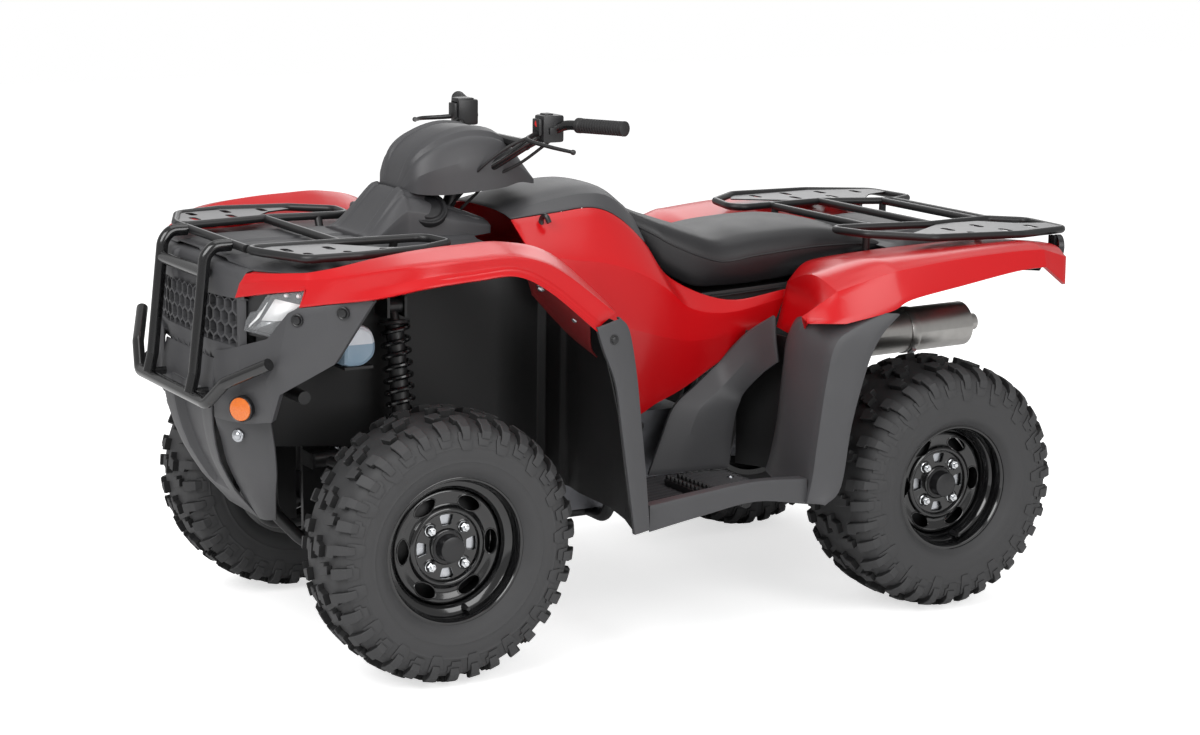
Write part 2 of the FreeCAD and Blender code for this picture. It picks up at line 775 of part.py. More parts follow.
def damper(top, foot, eye_axis):
    """Coil-over damper between two eyes: body, rod and the spring's coils as grooved rings."""
    along = (foot - top).normalize()
    length = (foot - top).Length
    half = eye_axis * (size("shock_eye_length") / 2)
    start = length * 0.09
    pitch = length * 0.52 / SPRING_COILS
    inner = size("damper_radius")
    outer = size("spring_radius")
    outline = [Vector(0, 0, start)]
    for i in range(SPRING_COILS):
        outline.append(Vector(inner * 1.2, 0, start + pitch * i))
        outline.append(Vector(outer, 0, start + pitch * (i + 0.3)))
        outline.append(Vector(outer, 0, start + pitch * (i + 0.7)))
    outline += [Vector(inner * 1.2, 0, start + pitch * SPRING_COILS), Vector(0, 0, start + pitch * SPRING_COILS)]
    spring = feature("spring", Part.Face(Part.makePolygon(outline + outline[:1])).revolve(Vector(0, 0, 0), Z_AXIS, 360))
    spring.Placement = Placement(top, turned(along))
    neck = size("shock_eye_radius") * 2
    return fuse([
        rod("shock_eye_radius", top - half, top + half),
        rod("shock_eye_radius", foot - half, foot + half),
        rod("arm_tube_radius", top, foot, "damper_rod"),
        rod("damper_radius", top + along * neck, foot - along * neck, "damper_body"),
        spring,
    ], "damper")


def front_shocks():
    pair = []
    for side in (LEFT, RIGHT):
        top = grid(side * SHOCK_TOP[0], SHOCK_TOP[1], SHOCK_TOP[2])
        foot = grid(side * SHOCK_FOOT[0], SHOCK_FOOT[1], SHOCK_FOOT[2])
        pair.append(damper(top, foot, Y_AXIS))
    node("front_shocks", fuse(pair, "front_shocks"))


def rear_shock():
    node("rear_shock", damper(grid(*REAR_SHOCK_TOP), grid(*REAR_SHOCK_FOOT), X_AXIS))


def tie_rod_ends(side):
    """Outer end on the knuckle's arm and inner end over the pitman arm."""
    centre, axis = kingpin(side)
    level = size("rod_end_height") * 1.6
    outer = centre + axis * level + Y_AXIS * size("steering_arm") - X_AXIS * side * size("rod_end_radius") * 1.4
    inner = column_point(size("pitman_wall") * 2 + size("rod_end_clearance") + size("rod_end_height") / 2,
                         size("pitman_arm"), side * size("pitman_half_span"))
    return outer, inner, axis


def knuckle(side, name):
    centre, axis = kingpin(side)
    gap = size("ball_joint_height") / 2 + size("bearing_gap")
    span = size("kingpin_span") - gap
    post = rod("ball_joint_radius", centre - axis * span, centre + axis * span, "post")
    tip = centre + X_AXIS * side * (size("kingpin_reach") + size("front_rim_half_width") - size("front_disc_offset") - size("running_gap"))
    spindle = rod("spindle_radius", centre, tip, "spindle")
    outer, _inner, _axis = tie_rod_ends(side)
    half = axis * (size("tie_rod_radius") + size("bearing_gap"))
    eye = outer - axis * (size("rod_end_height") / 2 + size("bearing_gap")) - half
    boss = rod("rod_end_radius", eye - half, eye + half, "arm_boss")
    arm = rod("tie_rod_radius", centre + axis * (eye - centre).dot(axis), eye, "arm")
    node("knuckle_" + name, fuse([post, spindle, boss, arm], "knuckle_" + name))


def tie_rod(side, name):
    outer, inner, axis = tie_rod_ends(side)
    half = size("rod_end_height") / 2
    parts = [
        rod("rod_end_radius", outer - axis * half, outer + axis * half, "outer_end"),
        rod("rod_end_radius", inner - column_axis * half, inner + column_axis * half, "inner_end"),
        rod("tie_rod_radius", outer, inner, "rod"),
    ]
    node("tie_rod_" + name, fuse(parts, "tie_rod_" + name))


CLAMP_HEIGHT = 0.985


def steering_column():
    top = column_at(CLAMP_HEIGHT * height_unit) - size("steering_column_radius") / 2
    shaft = rod("steering_column_radius", column_point(-size("bracket_wall") * 3), column_point(top))
    start = size("pitman_wall")
    width = size("pitman_half_span") + size("rod_end_radius")
    near = size("steering_column_radius") + size("bracket_wall")
    outline = [
        column_point(start, -near, -near), column_point(start, -near, near),
        column_point(start, size("pitman_arm") * 0.5, width),
        column_point(start, size("pitman_arm") + size("rod_end_radius"), width),
        column_point(start, size("pitman_arm") + size("rod_end_radius"), -width),
        column_point(start, size("pitman_arm") * 0.5, -width),
    ]
    plate = feature("pitman", Part.Face(Part.makePolygon(outline + outline[:1])).extrude(column_axis * size("pitman_wall")))
    node("steering_column", fuse([shaft, plate], "steering_column"))


HANDLEBAR_SHARES = (
    (0.392, -0.184, 1.141), (0.235, -0.240, 1.138), (0.170, -0.300, 1.090), (0.085, -0.385, 1.012), (0.0, -0.385, 1.010))


def brace_ends():
    x, y, z = HANDLEBAR_SHARES[2]
    return grid(-x, y, z), grid(x, y, z)


def handlebar():
    left = points(HANDLEBAR_SHARES)
    right = points(HANDLEBAR_SHARES[:-1], RIGHT)
    bar = tube(left + right[::-1], "handlebar_radius", "frame_bend")
    brace = rod("guard_tube_radius", *brace_ends(), "brace")
    clamp_centre = grid(0, -0.385, 1.010)
    half = Vector(size("clamp_half_length"), size("damper_radius"), 0)
    low = clamp_centre - half - Z_AXIS * (clamp_centre.z - CLAMP_HEIGHT * height_unit - size("bearing_gap"))
    clamp = block(low, clamp_centre + half + Z_AXIS * size("damper_radius"), "clamp")
    node("handlebar", fuse([bar, brace, clamp], "handlebar"))


def grips():
    pair = []
    for side in (LEFT, RIGHT):
        start = grid(side * 0.392, -0.184, 1.141)
        end = grid(side * 0.235, -0.240, 1.138)
        along = (end - start).normalize()
        far = start + along * (end - start).Length * 0.78
        sleeve = rod("grip_radius", start - along * size("bracket_wall"), far, "grip")
        core = doc.addObject("Part::Cylinder", "grip_bore")
        bind(core, Radius="Sizes.handlebar_radius + Sizes.bearing_gap")
        core.Height = (end - start).Length
        core.Placement = Placement(start - along * size("bearing_gap"), turned(along))
        pair.append(cut(sleeve, [core], "grip"))
    compound = doc.addObject("Part::Compound", "grips")
    compound.Links = pair
    node("grips", compound)


LEVER_SHARES = ((0.200, -0.275, 1.120), (0.260, -0.345, 1.112), (0.388, -0.302, 1.095))


def hand_controls():
    """Switch housings, brake fluid box and levers beside the grips."""
    parts = []
    for side in (LEFT, RIGHT):
        centre = grid(side * 0.205, -0.262, 1.128)
        half = Vector(size("grip_radius") * 1.4, size("grip_radius") * 1.7, size("grip_radius") * 2.0)
        housing = block(centre - half, centre + half, "housing")
        core = doc.addObject("Part::Cylinder", "bar_bore")
        bind(core, Radius="Sizes.handlebar_radius + Sizes.bearing_gap * 2")
        run = points(HANDLEBAR_SHARES[:3], side)
        along = (run[1] - run[2]).normalize()
        core.Height = (run[1] - run[2]).Length * 3
        core.Placement = Placement(run[2] - along * core.Height.Value / 3, turned(along))
        outer = (run[0] - run[1]).normalize()
        core2 = doc.addObject("Part::Cylinder", "bar_bore")
        bind(core2, Radius="Sizes.handlebar_radius + Sizes.bearing_gap * 4")
        core2.Height = size("overrun") * 4
        core2.Placement = Placement(run[1] - outer * size("overrun"), turned(outer))
        lever = tube(points(LEVER_SHARES, side), "lever_radius", "rack_bend")
        parts.append(cut(fuse([housing, lever], "housing"), [core, core2], "housing"))
    compound = doc.addObject("Part::Compound", "hand_controls")
    compound.Links = parts
    node("hand_controls", compound)


POD_SHARES = (
    (-0.530, 0.985, 1.005, 0.060), (-0.487, 0.982, 1.067, 0.098), (-0.449, 0.982, 1.103, 0.114), (-0.396, 0.986, 1.124, 0.122),
    (-0.328, 0.992, 1.116, 0.124), (-0.281, 1.000, 1.078, 0.112), (-0.235, 1.006, 1.022, 0.085))
POD_ROOM_SHARES = (0.170, -0.440, -0.330, 0.975, 1.060)


def crowned_outline(y, low, high, half, crown=0.55):
    """Closed outline of a cover at one station: flat foot, upright flank, round crown."""
    waist = low + (high - low) * crown
    return [
        grid(-half, y, low), grid(-half, y, waist), grid(-half * 0.62, y, low + (high - low) * 0.92),
        grid(0, y, high), grid(half * 0.62, y, low + (high - low) * 0.92), grid(half, y, waist), grid(half, y, low)]


def crowned_body(shares, crown=0.55, name="cover"):
    outlines = [crowned_outline(*station, crown) for station in shares]
    return section_loft(outlines, True, name)


def handlebar_cover():
    """Moulded pod over the clamp; it is held by the brace, which passes through it."""
    shell = crowned_body(POD_SHARES, 0.5, "pod")
    x, front, rear, low, high = POD_ROOM_SHARES
    room = block(grid(-x, front, low), grid(x, rear, high), "clamp_room")
    brace = doc.addObject("Part::Cylinder", "brace_bore")
    bind(brace, Radius="Sizes.guard_tube_radius + Sizes.bearing_gap")
    start, end = brace_ends()
    brace.Height = (end - start).Length
    brace.Placement = Placement(start, turned(end - start))
    tools = [room, brace]
    for side in (LEFT, RIGHT):
        run = points(HANDLEBAR_SHARES[2:4], side)
        tools.append(rod_between_clear("handlebar_radius", run[0], run[1]))
    node("handlebar_cover", cut(shell, tools, "handlebar_cover"))


def rod_between_clear(radius, start, end):
    """Clearance bar round a bar of the named radius."""
    item = doc.addObject("Part::Cylinder", "clear_bar")
    bind(item, Radius="Sizes." + radius + " + Sizes.running_gap / 2")
    along = (end - start).normalize()
    item.Height = (end - start).Length + size(radius) * 2
    item.Placement = Placement(start - along * size(radius), turned(along))
    return item


# Body mouldings

FRONT_FENDER_SHARES = (
    ((0.250, -0.985, 0.845), (0.315, -0.905, 0.856), (0.345, -0.850, 0.862), (0.345, -0.780, 0.868), (0.345, -0.690, 0.874),
     (0.345, -0.590, 0.876), (0.345, -0.490, 0.878), (0.350, -0.400, 0.868), (0.400, -0.285, 0.775)),
    ((0.252, -0.994, 0.856), (0.345, -0.925, 0.866), (0.425, -0.865, 0.884), (0.430, -0.780, 0.908), (0.430, -0.690, 0.920),
     (0.432, -0.590, 0.928), (0.435, -0.490, 0.928), (0.450, -0.390, 0.895), (0.480, -0.268, 0.765)),
    ((0.252, -1.001, 0.842), (0.372, -0.940, 0.852), (0.470, -0.900, 0.862), (0.520, -0.800, 0.872), (0.528, -0.703, 0.880),
     (0.530, -0.600, 0.884), (0.530, -0.500, 0.884), (0.535, -0.410, 0.850), (0.540, -0.285, 0.752)),
    ((0.248, -1.006, 0.818), (0.385, -0.950, 0.836), (0.500, -0.945, 0.822), (0.556, -0.843, 0.850), (0.560, -0.750, 0.862),
     (0.560, -0.640, 0.870), (0.560, -0.530, 0.868), (0.562, -0.440, 0.826), (0.562, -0.330, 0.738)),
)
FRONT_GUARD_SHARES = (
    ((0.300, -0.240, 0.720), (0.300, -0.236, 0.640), (0.300, -0.230, 0.540), (0.300, -0.222, 0.430), (0.300, -0.216, 0.335)),
    ((0.525, -0.262, 0.735), (0.528, -0.252, 0.680), (0.530, -0.235, 0.580), (0.530, -0.214, 0.430), (0.530, -0.214, 0.320)),
    ((0.562, -0.326, 0.728), (0.562, -0.312, 0.680), (0.562, -0.285, 0.590), (0.562, -0.260, 0.430), (0.562, -0.240, 0.310)),
)
REAR_GUARD_SHARES = (
    ((0.562, 0.405, 0.694), (0.562, 0.390, 0.650), (0.562, 0.345, 0.560), (0.562, 0.318, 0.440), (0.560, 0.270, 0.315)),
    ((0.525, 0.232, 0.684), (0.528, 0.236, 0.640), (0.528, 0.240, 0.560), (0.528, 0.226, 0.440), (0.528, 0.222, 0.315)),
    ((0.330, 0.330, 0.676), (0.330, 0.310, 0.640), (0.330, 0.290, 0.540), (0.330, 0.270, 0.430), (0.330, 0.250, 0.335)),
)
FOOTBOARD_SHARES = (
    ((0.204, -0.190, 0.318), (0.204, -0.060, 0.318), (0.204, 0.080, 0.318), (0.204, 0.200, 0.318)),
    ((0.500, -0.190, 0.318), (0.500, -0.060, 0.318), (0.500, 0.080, 0.318), (0.500, 0.200, 0.318)),
    ((0.512, -0.190, 0.355), (0.512, -0.060, 0.352), (0.512, 0.080, 0.354), (0.512, 0.210, 0.358)),
    ((0.536, -0.190, 0.352), (0.536, -0.060, 0.348), (0.536, 0.080, 0.350), (0.536, 0.214, 0.354)),
    ((0.540, -0.192, 0.290), (0.540, -0.060, 0.298), (0.540, 0.080, 0.318), (0.540, 0.218, 0.300)),
)
LOWER_COVER_SHARES = (
    ((0.205, 0.020, 0.478), (0.205, 0.100, 0.510), (0.206, 0.200, 0.562), (0.300, 0.262, 0.680)),
    ((0.232, 0.010, 0.440), (0.246, 0.100, 0.460), (0.256, 0.190, 0.500), (0.315, 0.255, 0.580)),
    ((0.212, 0.000, 0.326), (0.222, 0.100, 0.326), (0.236, 0.180, 0.326), (0.320, 0.240, 0.326)),
)
REAR_FENDER_SHARES = (
    ((0.2054, 0.212, 0.650), (0.2054, 0.270, 0.765), (0.2054, 0.400, 0.790), (0.2054, 0.560, 0.802), (0.2054, 0.700, 0.808),
     (0.2054, 0.850, 0.812), (0.2054, 0.955, 0.812)),
    ((0.340, 0.232, 0.695), (0.380, 0.320, 0.800), (0.440, 0.423, 0.824), (0.450, 0.560, 0.822), (0.455, 0.700, 0.826), (0.455, 0.830, 0.832), (0.445, 0.945, 0.822)),
    ((0.470, 0.226, 0.712), (0.500, 0.300, 0.758), (0.522, 0.400, 0.768), (0.535, 0.540, 0.788), (0.535, 0.690, 0.800), (0.530, 0.840, 0.810), (0.520, 0.935, 0.790)),
    ((0.520, 0.216, 0.712), (0.540, 0.310, 0.706), (0.552, 0.420, 0.730), (0.560, 0.540, 0.757), (0.560, 0.700, 0.778), (0.555, 0.850, 0.788), (0.535, 0.925, 0.748)),
)
REAR_APRON_SHARES = (
    ((0.440, 0.958, 0.816), (0.220, 0.968, 0.806), (0.0, 0.970, 0.804), (-0.220, 0.968, 0.806), (-0.440, 0.958, 0.816)),
    ((0.400, 0.958, 0.758), (0.220, 0.968, 0.738), (0.0, 0.970, 0.735), (-0.220, 0.968, 0.738), (-0.400, 0.958, 0.758)),
)
SIDE_PANEL_SHARES = (
    ((0.158, -0.330, 0.925), (0.158, -0.221, 0.934), (0.158, -0.127, 0.940), (0.160, -0.060, 0.915), (0.172, 0.004, 0.855), (0.180, 0.070, 0.770), (0.185, 0.190, 0.705)),
    ((0.235, -0.320, 0.860), (0.240, -0.221, 0.840), (0.240, -0.127, 0.825), (0.240, -0.040, 0.795), (0.236, 0.030, 0.755), (0.225, 0.100, 0.705), (0.205, 0.198, 0.675)),
    ((0.250, -0.285, 0.770), (0.250, -0.200, 0.720), (0.250, -0.120, 0.690), (0.248, -0.040, 0.665), (0.240, 0.030, 0.645), (0.228, 0.110, 0.630), (0.210, 0.200, 0.635)),
    ((0.228, -0.262, 0.735), (0.216, -0.190, 0.640), (0.210, -0.120, 0.540), (0.208, -0.050, 0.465), (0.206, 0.025, 0.490), (0.204, 0.100, 0.520), (0.202, 0.200, 0.573)),
)
SIDE_SHIELD_SHARES = (
    ((0.150, -1.022, 0.702), (0.340, -0.972, 0.745), (0.420, -0.935, 0.792), (0.470, -0.810, 0.820)),
    ((0.215, -1.045, 0.575), (0.292, -0.955, 0.590), (0.345, -0.915, 0.652), (0.420, -0.860, 0.690)),
)
COVER_CREASE_SHARES = (
    (0.150, -0.985, 0.872), (0.150, -0.905, 0.878), (0.150, -0.850, 0.881), (0.150, -0.780, 0.884),
    (0.150, -0.690, 0.884), (0.150, -0.590, 0.884), (0.150, -0.490, 0.884), (0.150, -0.400, 0.884))
BUMPER_SHARES = (
    ((0.150, -1.016, 0.670), (0.150, -1.034, 0.560), (0.110, -0.995, 0.440), (0.095, -0.945, 0.350), (0.085, -0.900, 0.300)),
    ((0.060, -1.020, 0.670), (0.060, -1.038, 0.560), (0.050, -1.005, 0.440), (0.045, -0.953, 0.350), (0.040, -0.905, 0.294)),
    ((-0.060, -1.020, 0.670), (-0.060, -1.038, 0.560), (-0.050, -1.005, 0.440), (-0.045, -0.953, 0.350), (-0.040, -0.905, 0.294)),
    ((-0.150, -1.016, 0.670), (-0.150, -1.034, 0.560), (-0.110, -0.995, 0.440), (-0.095, -0.945, 0.350), (-0.085, -0.900, 0.300)),
)
TANK_SHARES = (
    ((0.125, -0.330, 0.932), (0.125, -0.221, 0.955), (0.125, -0.127, 0.966), (0.122, -0.060, 0.953), (0.120, 0.004, 0.900)),
    ((0.060, -0.330, 0.938), (0.060, -0.221, 0.968), (0.060, -0.127, 0.982), (0.060, -0.060, 0.972), (0.060, 0.000, 0.930)),
    ((-0.060, -0.330, 0.938), (-0.060, -0.221, 0.968), (-0.060, -0.127, 0.982), (-0.060, -0.060, 0.972), (-0.060, 0.000, 0.930)),
    ((-0.125, -0.330, 0.932), (-0.125, -0.221, 0.955), (-0.125, -0.127, 0.966), (-0.122, -0.060, 0.953), (-0.120, 0.004, 0.900)),
)
TANK_FOOT_SHARES = (0.050, -0.190, -0.150, 0.974)
TANK_SADDLE_SHARE = 0.092
DASH_SHARES = (
    (-0.655, 0.8845, 0.905, 0.140), (-0.600, 0.8845, 0.960, 0.130), (-0.569, 0.8845, 0.990, 0.118), (-0.516, 0.8845, 0.982, 0.112),
    (-0.405, 0.8845, 0.935, 0.108), (-0.350, 0.890, 0.918, 0.100))
SEAT_SHARES = (
    (0.016, 0.850, 0.885, 0.925, 0.120), (0.050, 0.800, 0.870, 0.910, 0.140), (0.083, 0.775, 0.850, 0.899, 0.150),
    (0.151, 0.742, 0.820, 0.877, 0.162), (0.220, 0.738, 0.800, 0.859, 0.168), (0.312, 0.740, 0.810, 0.868, 0.172),
    (0.444, 0.752, 0.820, 0.873, 0.176), (0.540, 0.768, 0.820, 0.863, 0.174), (0.624, 0.785, 0.815, 0.838, 0.165),
    (0.680, 0.795, 0.806, 0.815, 0.150))
SEAT_FOOT_SHARES = ((0.120, 0.272, 0.760), (0.122, 0.560, 0.790))


def front_fender(side, name):
    node("front_fender_" + name, panel(mirrored_rows(FRONT_FENDER_SHARES, side), size("panel_wall"), "front_fender"))


def side_panel(side, name):
    node("side_panel_" + name, panel(mirrored_rows(SIDE_PANEL_SHARES, side), size("panel_wall"), "side_panel"))


def footwell(side, name):
    """Footboard, the mud guards before and behind it and the cover over the engine's flank."""
    parts = []
    for shares, wall, label in (
            (FRONT_GUARD_SHARES, "guard_wall", "front_guard"), (REAR_GUARD_SHARES, "guard_wall", "rear_guard"),
            (LOWER_COVER_SHARES, "guard_wall", "lower_cover"), (FOOTBOARD_SHARES, "board_wall", "footboard")):
        parts.append(panel([points(row, side) for row in shares][::side], size(wall), label))
    for y0, y1 in ((-0.222, -0.180), (0.190, 0.262)):
        parts.append(block(grid(side * 0.335, y0, 0.308), grid(side * 0.500, y1, 0.334), "board_tie"))
    parts.append(block(grid(side * 0.206, 0.000, 0.314), grid(side * 0.240, 0.180, 0.330), "cover_tie"))
    node("footwell_" + name, fuse(parts, "footwell"))


def rear_fender():
    """Both rear wings, joined by the deck under the rack; their inner edges stand against the rack's legs."""
    parts = [panel(mirrored_rows(REAR_FENDER_SHARES, side), size("panel_wall"), "rear_fender") for side in (LEFT, RIGHT)]
    parts.append(block(grid(-0.212, 0.715, 0.800), grid(0.212, 0.915, 0.807), "deck"))
    node("rear_fender", fuse(parts, "rear_fender"))


def rear_apron():
    """Panel across the back below the rack; it carries the tail lamp."""
    rows = [points(row) for row in REAR_APRON_SHARES]
    _rail, x, y, z = RACK_BAR_SHARES[1]
    back = grid(x, y, z).y + size("frame_tube_radius") + size("bearing_gap")
    parts = [panel(rows[::-1], size("panel_wall"), "apron")]
    for side in (LEFT, RIGHT):
        lug = Vector(side * x * side_unit * 0.8, back, z * height_unit)
        skin = Vector(lug.x, rows[1][2].y, lug.z)
        parts.append(rod("tie_rod_radius", lug, skin, "apron_lug"))
    node("rear_apron", fuse(parts, "rear_apron"))


def side_shields():
    """Shields beside the bumper, each with the lug that bolts it to the frame's shield bar."""
    pair = []
    low = CROSS_SHARES[0]
    for side in (LEFT, RIGHT):
        shield = panel(mirrored_rows(SIDE_SHIELD_SHARES, side), size("guard_wall"), "side_shield")
        bar = grid(side * (SHIELD_LUG_X - 0.010), low[1], low[2]) - Y_AXIS * (size("frame_tube_radius") + size("bearing_gap"))
        lug = rod("rack_tube_radius", bar, grid(side * (SHIELD_LUG_X - 0.010), SHIELD_LUG_SHARE, low[2]), "shield_lug")
        pair.append(fuse([shield, lug], "shield"))
    compound = doc.addObject("Part::Compound", "side_shields")
    compound.Links = pair
    node("side_shields", compound)


def front_cover():
    """Dark deck between the front fenders, in one piece round the column and the rack's legs."""
    edges = {}
    for side in (LEFT, RIGHT):
        inner = points(FRONT_FENDER_SHARES[0][:len(COVER_CREASE_SHARES)], side)
        edges[side] = [place - X_AXIS * side * size("bearing_gap") for place in inner]
    rows = [edges[RIGHT], points(COVER_CREASE_SHARES, RIGHT), points(COVER_CREASE_SHARES), edges[LEFT]]
    deck = panel(rows, size("panel_wall"), "front_cover")
    room = doc.addObject("Part::Cylinder", "column_room")
    bind(room, Radius="Sizes.steering_column_radius + Sizes.running_gap")
    room.Height = column_at(size("deck_height") * 1.3)
    room.Placement = Placement(column_foot, turned(column_axis))
    tools = [room]
    for side in (LEFT, RIGHT):
        tools.append(leg_bore(*front_leg(side)))
    node("front_cover", cut(deck, tools, "front_cover"))


def leg_bore(start, end):
    """Hole for a rack leg."""
    item = doc.addObject("Part::Cylinder", "leg_bore")
    bind(item, Radius="Sizes.rack_tube_radius + Sizes.bearing_gap")
    item.Height = (end - start).Length
    item.Placement = Placement(start, turned(end - start))
    return item


def front_bumper():
    """Shield-shaped bumper; the brush guard's two stays pass through it to the frame."""
    rows = [points(row) for row in BUMPER_SHARES]
    shield = panel(rows[::-1], size("guard_wall"), "front_bumper")
    bores = []
    for side in (LEFT, RIGHT):
        bores.append(leg_bore(*guard_stay(side)))
    node("front_bumper", cut(shield, bores, "front_bumper"))


def dash_cover():
    shell = crowned_body(DASH_SHARES, 0.6, "dash")
    room = doc.addObject("Part::Cylinder", "column_room")
    bind(room, Radius="Sizes.steering_column_radius + Sizes.running_gap")
    room.Height = column_at(size("deck_height") * 1.3)
    room.Placement = Placement(column_foot, turned(column_axis))
    node("dash_cover", cut(shell, [room], "dash_cover"))


def tank_cover():
    """Cover over the fuel tank; its edges follow the red side panels and its foot stands on the rails."""
    edges = {}
    for side in (LEFT, RIGHT):
        seam = points(SIDE_PANEL_SHARES[0][:len(TANK_SHARES[0])], side)
        edges[side] = [place - X_AXIS * side * (size("bearing_gap") + size("panel_wall") / 2) for place in seam]
    middle = [points(row) for row in TANK_SHARES]
    shell = panel(([edges[LEFT]] + middle + [edges[RIGHT]])[::-1], size("panel_wall"), "tank_shell")
    x, front, rear, top = TANK_FOOT_SHARES
    floor = rail_share(front) * height_unit + size("frame_tube_radius") + size("bearing_gap")
    foot = block(Vector(-x * side_unit, grid(0, front, 0).y, floor), Vector(x * side_unit, grid(0, rear, 0).y, top * height_unit), "tank_foot")
    saddle_low = Vector(-TANK_SADDLE_SHARE * side_unit, grid(0, front, 0).y, floor)
    saddle_high = Vector(TANK_SADDLE_SHARE * side_unit, grid(0, rear, 0).y, floor + size("bracket_wall"))
    node("tank_cover", fuse([shell, foot, block(saddle_low, saddle_high, "tank_saddle")], "tank_cover"))


def seat():
    outlines = []
    for y, low, edge, high, half in SEAT_SHARES:
        outlines.append([
            grid(-half * 0.9, y, low), grid(-half, y, (low + edge) / 2), grid(-half * 0.96, y, edge),
            grid(-half * 0.6, y, high - (high - edge) * 0.12), grid(0, y, high), grid(half * 0.6, y, high - (high - edge) * 0.12),
            grid(half * 0.96, y, edge), grid(half, y, (low + edge) / 2), grid(half * 0.9, y, low)])
    parts = [section_loft(outlines, True, "cushion")]
    for x, y, top in SEAT_FOOT_SHARES:
        for side in (LEFT, RIGHT):
            foot = grid(side * x, y, rail_share(y)) + Z_AXIS * (size("frame_tube_radius") + size("bearing_gap") * 4)
            parts.append(rod("arm_tube_radius", foot, grid(side * x, y, top), "seat_foot"))
    node("seat", fuse(parts, "seat"))


# Racks, guards and lamps

FRONT_RACK_LOOP_SHARES = (
    (0.190, -0.968, 0.905), (0.250, -0.955, 0.905), (0.372, -0.905, 0.905), (0.390, -0.800, 0.908), (0.360, -0.640, 0.908),
    (0.296, -0.550, 0.906), (0.200, -0.560, 0.906), (0.206, -0.758, 0.908))
REAR_RACK_LOOP_SHARES = (
    (0.200, 0.480, 0.862), (0.327, 0.505, 0.864), (0.430, 0.620, 0.862), (0.448, 0.860, 0.858), (0.395, 1.035, 0.853),
    (0.240, 1.045, 0.853), (0.190, 0.960, 0.856), (0.235, 0.760, 0.860))
RACK_LEG_SHARES = ((0.196, 0.600, 0.860), (0.196, 0.930, 0.856))


FRONT_LEG_SHARES = ((0.202, -0.634, 0.905), (0.152, -0.634, 0.792))

# Stamped plates between the tubes of a rack: outline, level and the centres of the slots
FRONT_PLATE_SHARES = (
    (0.226, -0.958), (0.250, -0.955), (0.372, -0.905), (0.390, -0.800), (0.366, -0.662), (0.332, -0.650), (0.306, -0.712),
    (0.204, -0.800), (0.196, -0.900))
FRONT_SLOT_SHARES = ((0.262, -0.905), (0.335, -0.885), (0.270, -0.815), (0.345, -0.800), (0.338, -0.715))
FRONT_PLATE_LEVEL_SHARE = 0.9085
REAR_PLATE_SHARES = (
    (0.430, 0.620), (0.448, 0.860), (0.395, 1.035), (0.330, 1.040), (0.300, 0.960), (0.235, 0.900), (0.228, 0.790),
    (0.290, 0.700), (0.370, 0.580))
REAR_SLOT_SHARES = ((0.385, 0.665), (0.320, 0.745), (0.395, 0.765), (0.300, 0.845), (0.385, 0.865), (0.360, 0.960))
REAR_PLATE_LEVEL_SHARE = 0.8600
SLOT_SHARES = (0.024, 0.009)


def rack_plate(outline, slots, level, side):
    """Stamped plate whose edges run into the tubes, with rounded slots across it."""
    corners = [grid(side * x, y, level) for x, y in outline]
    plate = Part.Face(Part.makePolygon(corners + corners[:1])).extrude(Z_AXIS * -size("rack_plate_wall"))
    reach, radius = SLOT_SHARES
    cutters = []
    for x, y in slots:
        centre = grid(side * x, y, level) - Z_AXIS * size("overrun") / 2
        run = X_AXIS * (reach - radius) * side_unit
        across = Y_AXIS * radius * length_unit
        bar = [centre - run - across, centre + run - across, centre + run + across, centre - run + across]
        cutters.append(Part.Face(Part.makePolygon(bar + bar[:1])).extrude(Z_AXIS * size("overrun")))
        for end in (centre - run, centre + run):
            cutters.append(Part.makeCylinder(radius * length_unit, size("overrun"), end, Z_AXIS))
    return feature("rack_plate", plate.cut(cutters))


def front_leg(side):
    """Top and foot of the front rack's leg on the shock tower."""
    top, foot = points(FRONT_LEG_SHARES, side)
    return top, foot + Z_AXIS * size("bearing_gap")


def front_rack():
    parts = []
    for side in (LEFT, RIGHT):
        parts += loop_tube(points(FRONT_RACK_LOOP_SHARES, side), "rack_tube_radius", "rack_bend")
        parts.append(rack_plate(FRONT_PLATE_SHARES, FRONT_SLOT_SHARES, FRONT_PLATE_LEVEL_SHARE, side))
        parts.append(rod("rack_tube_radius", *front_leg(side)))
    for y, x in ((-0.966, 0.195), (-0.758, 0.206)):
        parts.append(rod("rack_tube_radius", grid(-x, y, 0.906), grid(x, y, 0.906)))
    node("front_rack", fuse(parts, "front_rack"))


def rear_rack():
    parts = []
    for side in (LEFT, RIGHT):
        parts += loop_tube(points(REAR_RACK_LOOP_SHARES, side), "rack_tube_radius", "rack_bend")
        parts.append(rack_plate(REAR_PLATE_SHARES, REAR_SLOT_SHARES, REAR_PLATE_LEVEL_SHARE, side))
        for x, y, z in RACK_LEG_SHARES:
            foot = grid(side * x, y, 0.720 if y < 0.8 else 0.748)
            parts.append(rod("rack_tube_radius", grid(side * x, y, z), foot + Z_AXIS * (size("frame_tube_radius") + size("bearing_gap"))))
        parts.append(rod("rack_tube_radius", grid(side * 0.196, 0.600, 0.861), grid(side * 0.215, 0.600, 0.861)))
    for y, x in ((0.600, 0.220), (0.760, 0.235), (0.960, 0.192)):
        parts.append(rod("rack_tube_radius", grid(-x, y, 0.860 if y < 0.9 else 0.856), grid(x, y, 0.860 if y < 0.9 else 0.856)))
    parts.append(rod("rack_tube_radius", grid(-0.196, 0.930, 0.856), grid(0.196, 0.930, 0.856)))
    node("rear_rack", fuse(parts, "rear_rack"))


GUARD_POST_SHARES = ((0.125, -1.069, 0.600), (0.125, -1.059, 0.640), (0.125, -1.031, 0.885))
GUARD_BAR_SHARES = ((0.128, -1.070, 0.590), (0.200, -1.062, 0.590), (0.260, -1.044, 0.642), (0.372, -0.993, 0.696))


STAY_SHARES = (0.125, -1.058, 0.600)


